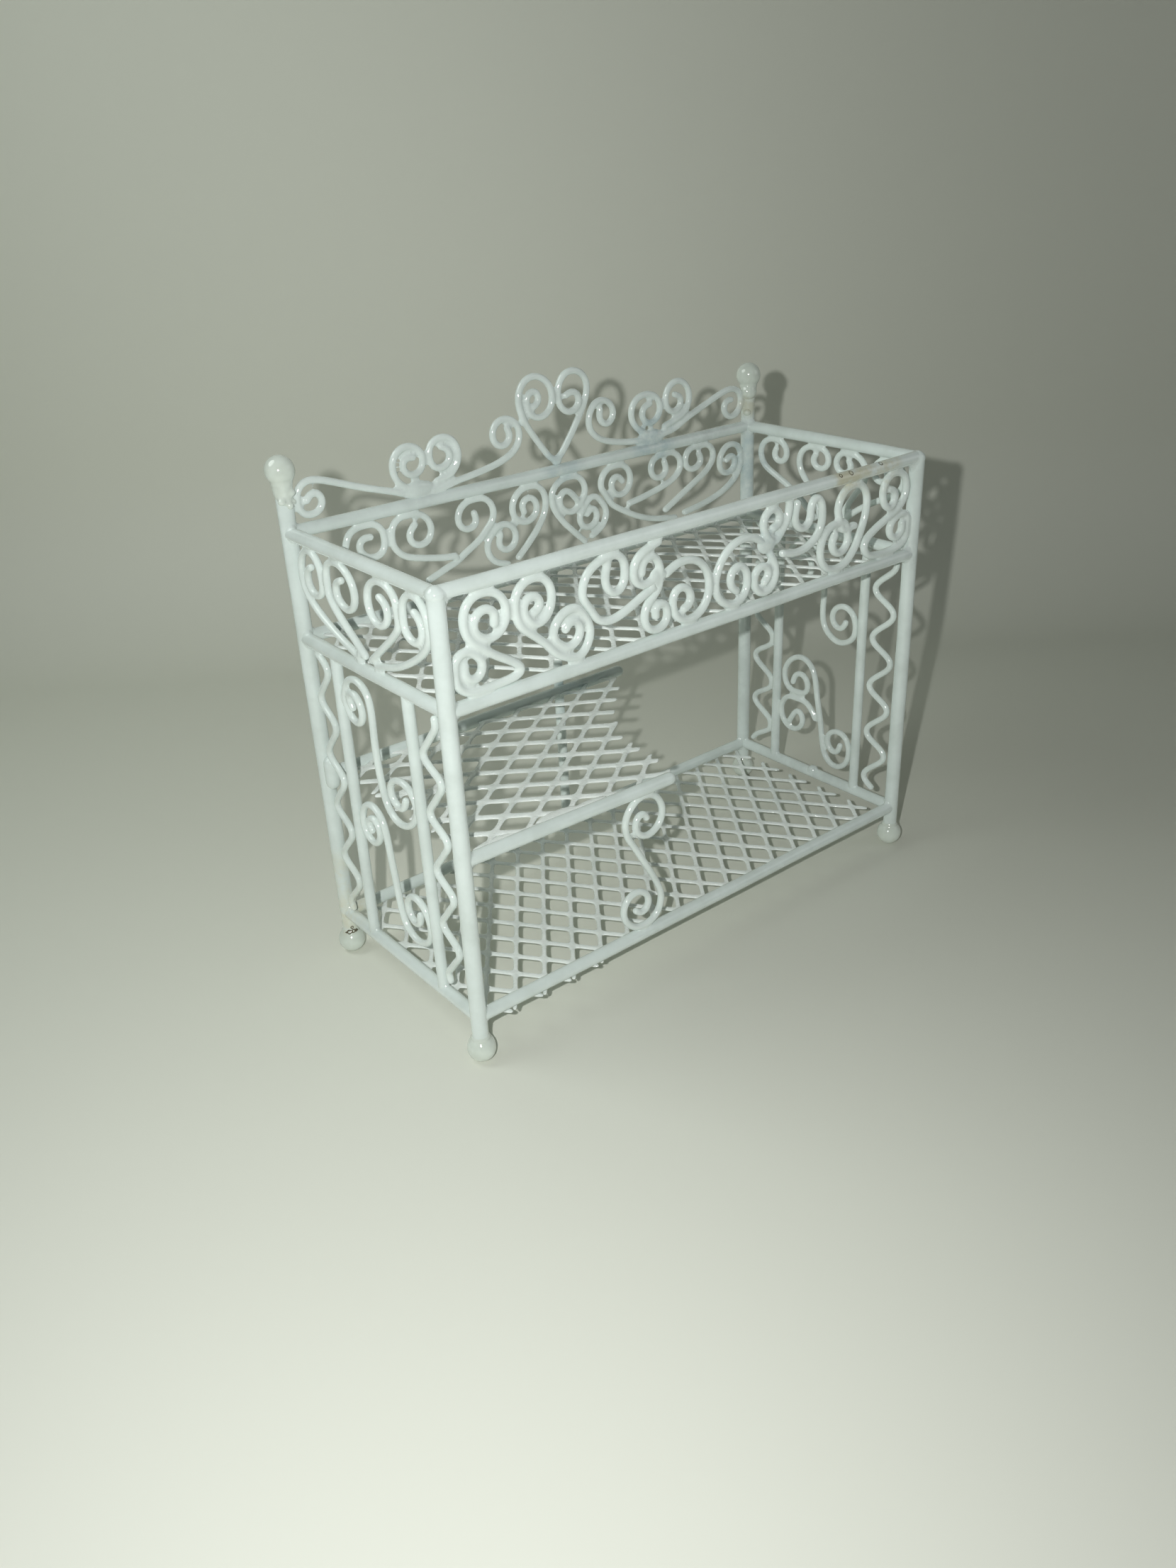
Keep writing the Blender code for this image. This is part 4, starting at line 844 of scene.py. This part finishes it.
# The side galleries: four crooks fan out from the middle of the lower rail
LEFT_OUTER_CROOK = [(23.6, 62.9), (30.0, 64.6), (35.8, 67.6), (39.1, 70.6), (39.5, 74.0), (37.8, 76.5),
                    (35.0, 76.9), (32.8, 75.0), (32.4, 72.4), (33.9, 70.3), (36.0, 69.8), (37.7, 71.3),
                    (37.3, 73.5), (35.8, 74.4)]
LEFT_INNER_CROOK = [(22.1, 63.4), (25.5, 66.0), (29.2, 69.0), (31.4, 71.4), (31.6, 74.2), (30.0, 76.4),
                    (26.6, 76.9), (23.6, 75.4), (22.8, 72.8), (24.0, 70.5), (26.4, 69.9), (28.5, 71.4),
                    (28.2, 73.6), (26.4, 74.4)]
RIGHT_OUTER_CROOK = [(23.4, 63.2), (26.5, 65.8), (30.3, 68.2), (34.0, 70.0), (36.9, 71.5), (38.2, 73.8),
                     (37.4, 76.0), (35.0, 77.0), (32.4, 76.7), (31.0, 75.0), (31.6, 73.2), (33.3, 72.8),
                     (34.6, 74.0), (34.0, 75.2)]
RIGHT_INNER_CROOK = [(21.8, 63.4), (23.2, 66.4), (25.2, 69.4), (27.2, 71.8), (27.8, 74.2), (26.6, 76.3),
                     (24.0, 77.0), (21.4, 76.6), (20.3, 74.8), (21.3, 73.2), (23.1, 73.1), (24.4, 74.4),
                     (23.6, 75.6)]
CROOKS = {
    "left_crooks_front": [mirror(LEFT_OUTER_CROOK, 21.0), mirror(LEFT_INNER_CROOK, 21.0)],
    "left_crooks_back": [LEFT_INNER_CROOK, LEFT_OUTER_CROOK],
    "right_crooks_front": [mirror(RIGHT_OUTER_CROOK, 20.3), mirror(RIGHT_INNER_CROOK, 19.5)],
    "right_crooks_back": [RIGHT_INNER_CROOK, RIGHT_OUTER_CROOK],
}


SIDE_SCROLLS = {
    "left_upper": [(28.6, 52.8), (29.4, 54.4), (28.0, 55.7), (26.0, 54.8), (25.5, 52.4), (27.0, 50.5),
                   (29.6, 51.0), (30.6, 54.0), (29.2, 57.2), (26.4, 58.3), (23.6, 57.0), (22.7, 54.0),
                   (22.6, 48.0), (22.4, 42.0), (21.2, 38.0), (18.0, 36.2), (14.2, 37.2), (12.0, 40.2),
                   (12.8, 43.1), (15.6, 44.4), (18.5, 43.4), (19.5, 41.0), (18.1, 39.2), (16.0, 39.4),
                   (15.2, 41.2)],
    "left_lower": [(27.6, 30.8), (28.6, 32.0), (27.4, 33.4), (25.6, 32.7), (25.2, 30.4), (26.8, 28.6),
                   (29.2, 29.2), (30.4, 31.8), (29.4, 34.6), (26.8, 35.8), (23.8, 34.4), (22.6, 31.0),
                   (22.2, 26.0), (21.4, 20.0), (19.8, 16.0), (16.6, 14.2), (13.2, 15.6), (11.9, 19.0),
                   (13.0, 22.2), (15.8, 23.2), (18.2, 21.8), (18.8, 19.4), (17.2, 17.6), (15.2, 18.2),
                   (14.8, 20.2)],
    "right_upper": [(26.6, 54.2), (25.4, 55.3), (24.0, 54.4), (23.6, 52.4), (25.0, 50.6), (27.6, 50.8),
                    (29.4, 53.0), (29.0, 56.2), (26.4, 58.2), (23.0, 57.6), (20.8, 55.0), (20.1, 50.0),
                    (20.2, 44.2), (19.0, 41.0), (15.6, 39.2), (12.2, 40.9), (11.7, 44.2), (12.8, 46.4),
                    (14.9, 47.1), (17.0, 46.0), (17.7, 43.9), (16.6, 42.2), (15.0, 42.3), (14.2, 43.8)],
    "right_lower": [(27.4, 27.2), (26.8, 29.0), (25.0, 29.7), (23.5, 28.3), (23.6, 26.1), (25.5, 24.8),
                    (27.8, 25.0), (29.5, 26.7), (29.8, 29.4), (28.2, 32.1), (25.4, 33.3), (22.8, 32.2),
                    (21.4, 29.8), (20.7, 26.2), (19.6, 20.5), (18.7, 15.6), (17.4, 12.8), (15.0, 11.6),
                    (12.4, 13.0), (11.6, 16.4), (12.6, 19.0), (14.6, 19.8), (16.8, 18.8), (17.4, 16.6),
                    (16.2, 14.8), (14.6, 15.0), (14.0, 16.8)],
    "right_curl": [(21.0, 20.6), (22.8, 23.0), (25.6, 24.2), (28.6, 23.6), (30.4, 21.4), (30.5, 18.8),
                   (29.0, 16.8), (26.8, 16.4), (24.8, 17.6), (24.3, 19.8), (25.8, 21.2), (27.2, 19.6),
                   (28.2, 17.9)],
}

SERPENTINES = {
    "left_front": wave(3.3, 8.2, 59.0, 11.0, 57.6, 0.5),
    "left_back": wave(35.2, 39.8, 59.4, 10.0, 56.5, 0.35),
    "right_front": wave(2.5, 7.5, 58.9, 10.4, 57.8, 0.2),
    "right_back": wave(33.0, 38.8, 59.4, 10.4, 55.2, 0.0),
}

MID_SUPPORT = [(36.4, 30.4), (35.8, 31.6), (34.2, 31.0), (33.8, 29.2), (35.0, 27.5), (37.2, 27.1),
               (39.4, 28.6), (40.0, 31.2), (38.5, 33.8), (35.7, 34.9), (33.2, 33.9), (31.7, 31.4),
               (32.1, 28.4), (33.8, 25.4), (36.2, 21.0), (38.2, 17.2), (39.4, 13.8), (38.4, 10.8),
               (36.0, 9.6), (32.8, 10.2), (30.8, 12.7), (31.2, 15.6), (33.5, 16.9), (35.8, 15.8),
               (36.3, 13.6), (34.8, 12.2), (33.4, 13.2)]


def make_scrolls():
    """Each panel's wires, with its box (u from, u to, v from, v to) and the wires around it."""
    gallery_low, gallery_high = TRAY_V + RAIL_R, TOP_V - RAIL_R
    across = (POST_R, WIDTH - POST_R)
    first_post = (0, 0.0, POST_R, 0.0)
    base_edge, floor_edge, top_edge = [(1, v, RAIL_R, 0.0) for v in (BASE_V, TRAY_V, TOP_V)]
    long_edges = [floor_edge, top_edge, first_post, (0, WIDTH, POST_R, 0.0)]
    panel(FRONT_GALLERY, (*across, gallery_low, gallery_high), front_place, (0, -1, 0), long_edges, FRONT_R)
    panel(BACK_GALLERY, (*across, gallery_low, gallery_high), back_place, (0, -1, 0), long_edges, BACK_R)
    panel(CREST, (*across, TOP_V + RAIL_R, TOP_V + 20.0), back_place, (0, -1, 0), long_edges, BACK_R)
    last_post = (0, DEPTH, POST_R, 0.0)
    gallery = (POST_R, DEPTH - POST_R, gallery_low, gallery_high)
    low, high = BASE_V + RAIL_R, TRAY_V - RAIL_R
    front_bay = (POST_R, BAR_INSET - BAR_R)
    middle_bay = (BAR_INSET + BAR_R, DEPTH - BAR_INSET - BAR_R)
    back_bay = (DEPTH - BAR_INSET + BAR_R, DEPTH - POST_R)
    for side, place in (("left", left_place), ("right", right_place)):
        crooks = {name: wires for name, wires in CROOKS.items() if name.startswith(side)}
        panel(crooks, gallery, place, (1, 0, 0), [floor_edge, top_edge, first_post, last_post], SIDE_R)
        front = {f"side_serpentine_{side}_front": [SERPENTINES[side + "_front"]]}
        back = {f"side_serpentine_{side}_back": [SERPENTINES[side + "_back"]]}
        scrolls = {f"side_scroll_{side}_upper": [SIDE_SCROLLS[f"{side}_upper"]],
                   f"side_scroll_{side}_lower": [SIDE_SCROLLS[f"{side}_lower"]]}
        if side == "right":
            scrolls["side_scroll_right_lower"].append(SIDE_SCROLLS["right_curl"])
        lean = BAR_LEAN.get((side, "front"), 0.0)
        uprights = [base_edge, floor_edge, first_post, (0, BAR_INSET, BAR_R, lean),
                    (0, DEPTH - BAR_INSET, BAR_R, 0.0), last_post]
        for groups, bay in ((front, front_bay), (back, back_bay), (scrolls, middle_bay)):
            panel(groups, (*bay, low, high), place, (1, 0, 0), uprights, SIDE_R)
    hung = MID_V - 1.05                       # the front rail's height over its support
    panel({"mid_shelf_support_scroll": [MID_SUPPORT]}, (20.0, 60.0, low, MID_V - RAIL_R), front_place,
          (0, -1, 0), [base_edge, (1, hung, RAIL_R, 0.0)], SIDE_R)


# ---------------------------------------------------------------- expanded metal

def inside(outline, spot):
    """Whether a spot lies within an outline."""
    hit = False
    for (x0, y0), (x1, y1) in zip(outline, outline[1:] + outline[:1]):
        if (y0 > spot[1]) != (y1 > spot[1]) and spot[0] < x0 + (spot[1] - y0) * (x1 - x0) / (y1 - y0):
            hit = not hit
    return hit


def expanded_metal(name, outline, height, strand, web, anchor, widths=(1.12, 0.95), bend=None, sag=None):
    """Slit and stretched sheet: broad strands one way, leaning webs the other, cut off at an outline."""
    rng = dice(name)
    strand, web, anchor = (np.array(v, float) for v in (strand, web, anchor))
    strand_w, web_w = widths
    lean = abs(strand[0] * web[1] - strand[1] * web[0]) / np.linalg.norm(strand)
    edge_s, edge_t = web_w / 2 / lean, strand_w / 2 / lean
    points, faces = [], []

    def flat(a, b):
        spot = anchor + strand * a + web * b
        return spot + bend(spot) if bend else spot

    def vertex(a, b, z):
        spot = flat(a, b)
        z = z + 0.10 * math.sin(spot[0] / 9.0) + 0.08 * math.sin(spot[1] / 6.0 + spot[0] / 17.0)
        z -= sag(spot) if sag else 0.0
        points.append(world(spot[0], spot[1], height + z) + rng.normal(0, 0.022, 3))
        return len(points) - 1

    def section(along_strand, i, j, share, width, tilt):
        """The four corners of a strand or web a share of the way to the next knot."""
        ring = []
        for side, level in ((-1, 1), (1, 1), (1, -1), (-1, -1)):
            offset = side * width
            z = level * SHEET / 2 + side * tilt
            ring.append(vertex(i + share, j + offset, z) if along_strand
                        else vertex(i + offset, j + share, z))
        return ring

    span = range(-24, 25)
    knots = {}
    for i in span:
        for j in span:
            if inside(outline, flat(i, j)):
                ring = [vertex(i + s * edge_s, j + t * edge_t, level * SHEET * 0.44)
                        for level in (1, -1) for s, t in ((-1, -1), (1, -1), (1, 1), (-1, 1))]
                knots[i, j] = ring
                faces.append(ring[:4])
                faces.append(ring[4:][::-1])
    sides = {"a+": (1, 2, 6, 5), "a-": (3, 0, 4, 7), "b+": (2, 3, 7, 6), "b-": (0, 1, 5, 4)}

    def crossed(corners):
        return [corners[1], corners[0], corners[3], corners[2]]

    def bridge(first, second):
        for c in range(4):
            n = (c + 1) % 4
            faces.append((first[c], first[n], second[n], second[c]))

    def cut_share(i, j, step):
        """How far a strand gets before the shears cut it."""
        low, high = 0.0, 1.0
        for _ in range(10):
            mid = (low + high) / 2
            if inside(outline, flat(i + step[0] * mid, j + step[1] * mid)):
                low = mid
            else:
                high = mid
        return low + rng.uniform(-0.02, 0.05)

    for (i, j), ring in knots.items():
        for key, step in (("a+", (1, 0)), ("a-", (-1, 0)), ("b+", (0, 1)), ("b-", (0, -1))):
            along_strand, grow = key[0] == "a", step[0] + step[1]
            start = [ring[c] for c in sides[key]]
            edge = edge_s if along_strand else edge_t
            width = edge_t * 0.95 if along_strand else edge_s * 0.88
            tilt = 0.03 if along_strand else 0.12
            other = knots.get((i + step[0], j + step[1]))
            if other:
                if grow < 0:                  # already made from the other end
                    continue
                end = crossed([other[c] for c in sides[key[0] + "-"]])
                shares = (0.34, 0.66)
            else:
                limit = cut_share(i, j, step)
                if limit < edge + 0.06:
                    faces.append(tuple(start[::-1]))
                    continue
                shares = [s for s in (0.34, 0.66) if s < limit - 0.08] + [limit]
                end = None
            last = start
            for share in shares:
                ahead = section(along_strand, i, j, grow * share, width, tilt)
                if along_strand == (grow < 0):
                    ahead = crossed(ahead)
                bridge(last, ahead)
                last = ahead
            if end:
                bridge(last, end)
            else:
                faces.append(tuple(last))
    item = build(name + "_cage", points, faces)
    cage = bmesh.new()
    cage.from_mesh(item.data)
    bmesh.ops.recalc_face_normals(cage, faces=cage.faces[:])
    cage.to_mesh(item.data)
    cage.free()
    item.modifiers.new("round", "SUBSURF").levels = 2
    return baked(item)


def make_mesh_panels():
    """The three expanded sheets; each outline runs round in x and y from the front left post."""
    right, back = WIDTH - RAIL_R, DEPTH - RAIL_R
    tray = [(RAIL_R, RAIL_R), (right, RAIL_R), (right, back), (RAIL_R, back)]
    sheet = expanded_metal("tray_mesh", tray, TRAY_V, (3.07, -4.1), (3.07, 4.1), (4.5, 14.0))
    piece("tray_mesh_enamel", [sheet], LIGHTENED_MESH_ENAMEL, ["tray_mesh"])
    under = middle("base_mesh").z - DATUM
    base = [(POST_R, -1.1), (24.0, -0.8), (28.0, 0.5), (100.2, 0.5), (100.2, DEPTH + 1.0),
            (POST_R, DEPTH + 1.0)]
    sheet = expanded_metal("base_mesh", base, under, (3.07, -4.1), (3.07, 4.1), (82.9, 27.5))
    piece("base_mesh_enamel", [sheet], LIGHTENED_MESH_ENAMEL, ["base_mesh"])
    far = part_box("mid_shelf_rail_back")[0].y / MM - FIRST.y + 0.4
    shelf = [(1.3, 0.9), (43.0, 0.9), (45.2, 8.0), (45.0, 12.0), (46.0, 17.0), (49.0, 23.0),
             (54.0, 28.5), (59.0, 33.0), (62.5, far), (1.3, far)]

    def stretched(spot):
        """The shelf's sheet was pulled out of true towards its front right corner."""
        pull = max(0.0, spot[0] - 22.0) / 25.0 * max(0.0, 26.0 - spot[1]) / 20.0
        return np.array([0.0, 1.6 * pull * pull])

    def hanging(spot):
        """The sheet follows its front rail down."""
        down = SAG_LEFT + (SAG_RIGHT - SAG_LEFT) * min(1.0, max(0.0, spot[0] / 42.0))
        return down * max(0.0, 1 - spot[1] / 30.0)

    sheet = expanded_metal("mid_shelf_mesh", shelf, MID_V, (4.2, -2.8), (4.4, 3.3), (22.1, 26.0),
                           widths=(1.4, 1.3), bend=stretched, sag=hanging)
    webs = [blob(world(x, y, MID_V - 0.5), reach, rings=8, sides=18)
            for x, y, reach in ((7.5, 1.7, (4.6, 1.3, 0.34)), (19.5, 1.8, (4.4, 1.5, 0.36)),
                                (25.5, 1.4, (3.6, 1.0, 0.34)), (15.0, 1.2, (2.0, 0.7, 0.3)))]
    piece("mid_shelf_mesh_enamel", [sheet, *webs], LIGHTENED_MESH_ENAMEL, ["mid_shelf_mesh"])


# ---------------------------------------------------------------- camera, floor and light

def make_camera():
    """The camera, with its directions ahead, to the right and up before it is rolled."""
    eye = Vector((-0.13501, -0.16067, 0.13314))
    bearing, tilt, roll = math.radians(37.81), math.radians(27.43), math.radians(-2.79)
    ahead = Vector((math.sin(bearing) * math.cos(tilt), math.cos(bearing) * math.cos(tilt), -math.sin(tilt)))
    right = Vector((math.cos(bearing), -math.sin(bearing), 0))
    up = right.cross(ahead)
    axis_x = math.cos(roll) * right + math.sin(roll) * up
    axis_y = -math.sin(roll) * right + math.cos(roll) * up
    lens = bpy.data.cameras.new("camera")
    lens.sensor_fit = "VERTICAL"
    lens.sensor_height = 36.0
    lens.lens = 28.94
    lens.clip_start = 0.005
    lens.clip_end = 10.0
    camera = bpy.data.objects.new("camera", lens)
    bpy.context.scene.collection.objects.link(camera)
    frame_axes = Matrix((axis_x, axis_y, -ahead)).transposed().to_4x4()
    camera.matrix_world = Matrix.Translation(eye) @ frame_axes
    bpy.context.scene.camera = camera
    return eye, ahead, right, up


def lamp(name, spot, aim, size, watts, colour):
    """A round lamp at a spot, turned towards its aim; size is its breadth in metres."""
    data = bpy.data.lights.new(name, "AREA")
    data.shape = "DISK"
    data.size = size
    data.energy = watts
    data.color = colour
    item = bpy.data.objects.new(name, data)
    bpy.context.scene.collection.objects.link(item)
    item.location = spot
    item.rotation_euler = (aim - spot).to_track_quat("-Z", "Y").to_euler()


def make_stage(eye, ahead, right, up):
    """A pale floor that turns up into a wall close behind, square to the camera's bearing."""
    away = Vector((ahead.x, ahead.y, 0)).normalized()
    bend_radius, tall, wide = 0.05, 0.9, 1.4
    bend_start = WALL_AWAY - bend_radius
    profile = [(-tall, 0.0), (bend_start, 0.0)]
    for step in range(1, 13):
        angle = math.pi / 2 * step / 12
        profile.append((bend_start + bend_radius * math.sin(angle), bend_radius * (1 - math.cos(angle))))
    profile.append((WALL_AWAY, tall))
    points, faces = [], []
    for k, (depth, rise) in enumerate(profile):
        for side in (-wide, wide):
            spot = away * depth + right * side
            points.append((spot.x, spot.y, rise))
        if k:
            faces.append((2 * k - 2, 2 * k - 1, 2 * k + 1, 2 * k))
    stage = build("floor_and_wall", points, faces)
    stage.data.shade_smooth()
    # the third tint is painted shade, laid over the card towards its right
    near, far, shade_painted_right = (0.78, 0.80, 0.72), (0.80, 0.82, 0.72), (0.22, 0.235, 0.20)
    stage.data.materials.append(card("pale_card", near, far, shade_painted_right, away, right))
    target = Vector((0.0, 0.0, 0.045))
    lamp("key", eye - right * 0.016 + up * 0.006, target, 0.0032, 0.325, (1.0, 1.0, 0.99))
    lamp("room", Vector((0, 0, 0.26)) - right * 0.20 - away * 0.03, target, 0.16, 0.19, (0.93, 1.0, 0.96))
    lamp("fill", Vector((0, 0, 0.20)) + right * 0.32 - away * 0.02, target, 0.20, 0.05, (0.96, 1.0, 0.98))
    world_light = bpy.data.worlds.new("room")
    world_light.use_nodes = True
    sky = world_light.node_tree.nodes["Background"]
    sky.inputs["Color"].default_value = (0.9, 0.95, 0.92, 1.0)
    sky.inputs["Strength"].default_value = 0.065
    bpy.context.scene.world = world_light
    bpy.context.scene.view_settings.view_transform = "Standard"


make_stage(*make_camera())
make_frame()
make_balls()
make_scrolls()
make_mesh_panels()
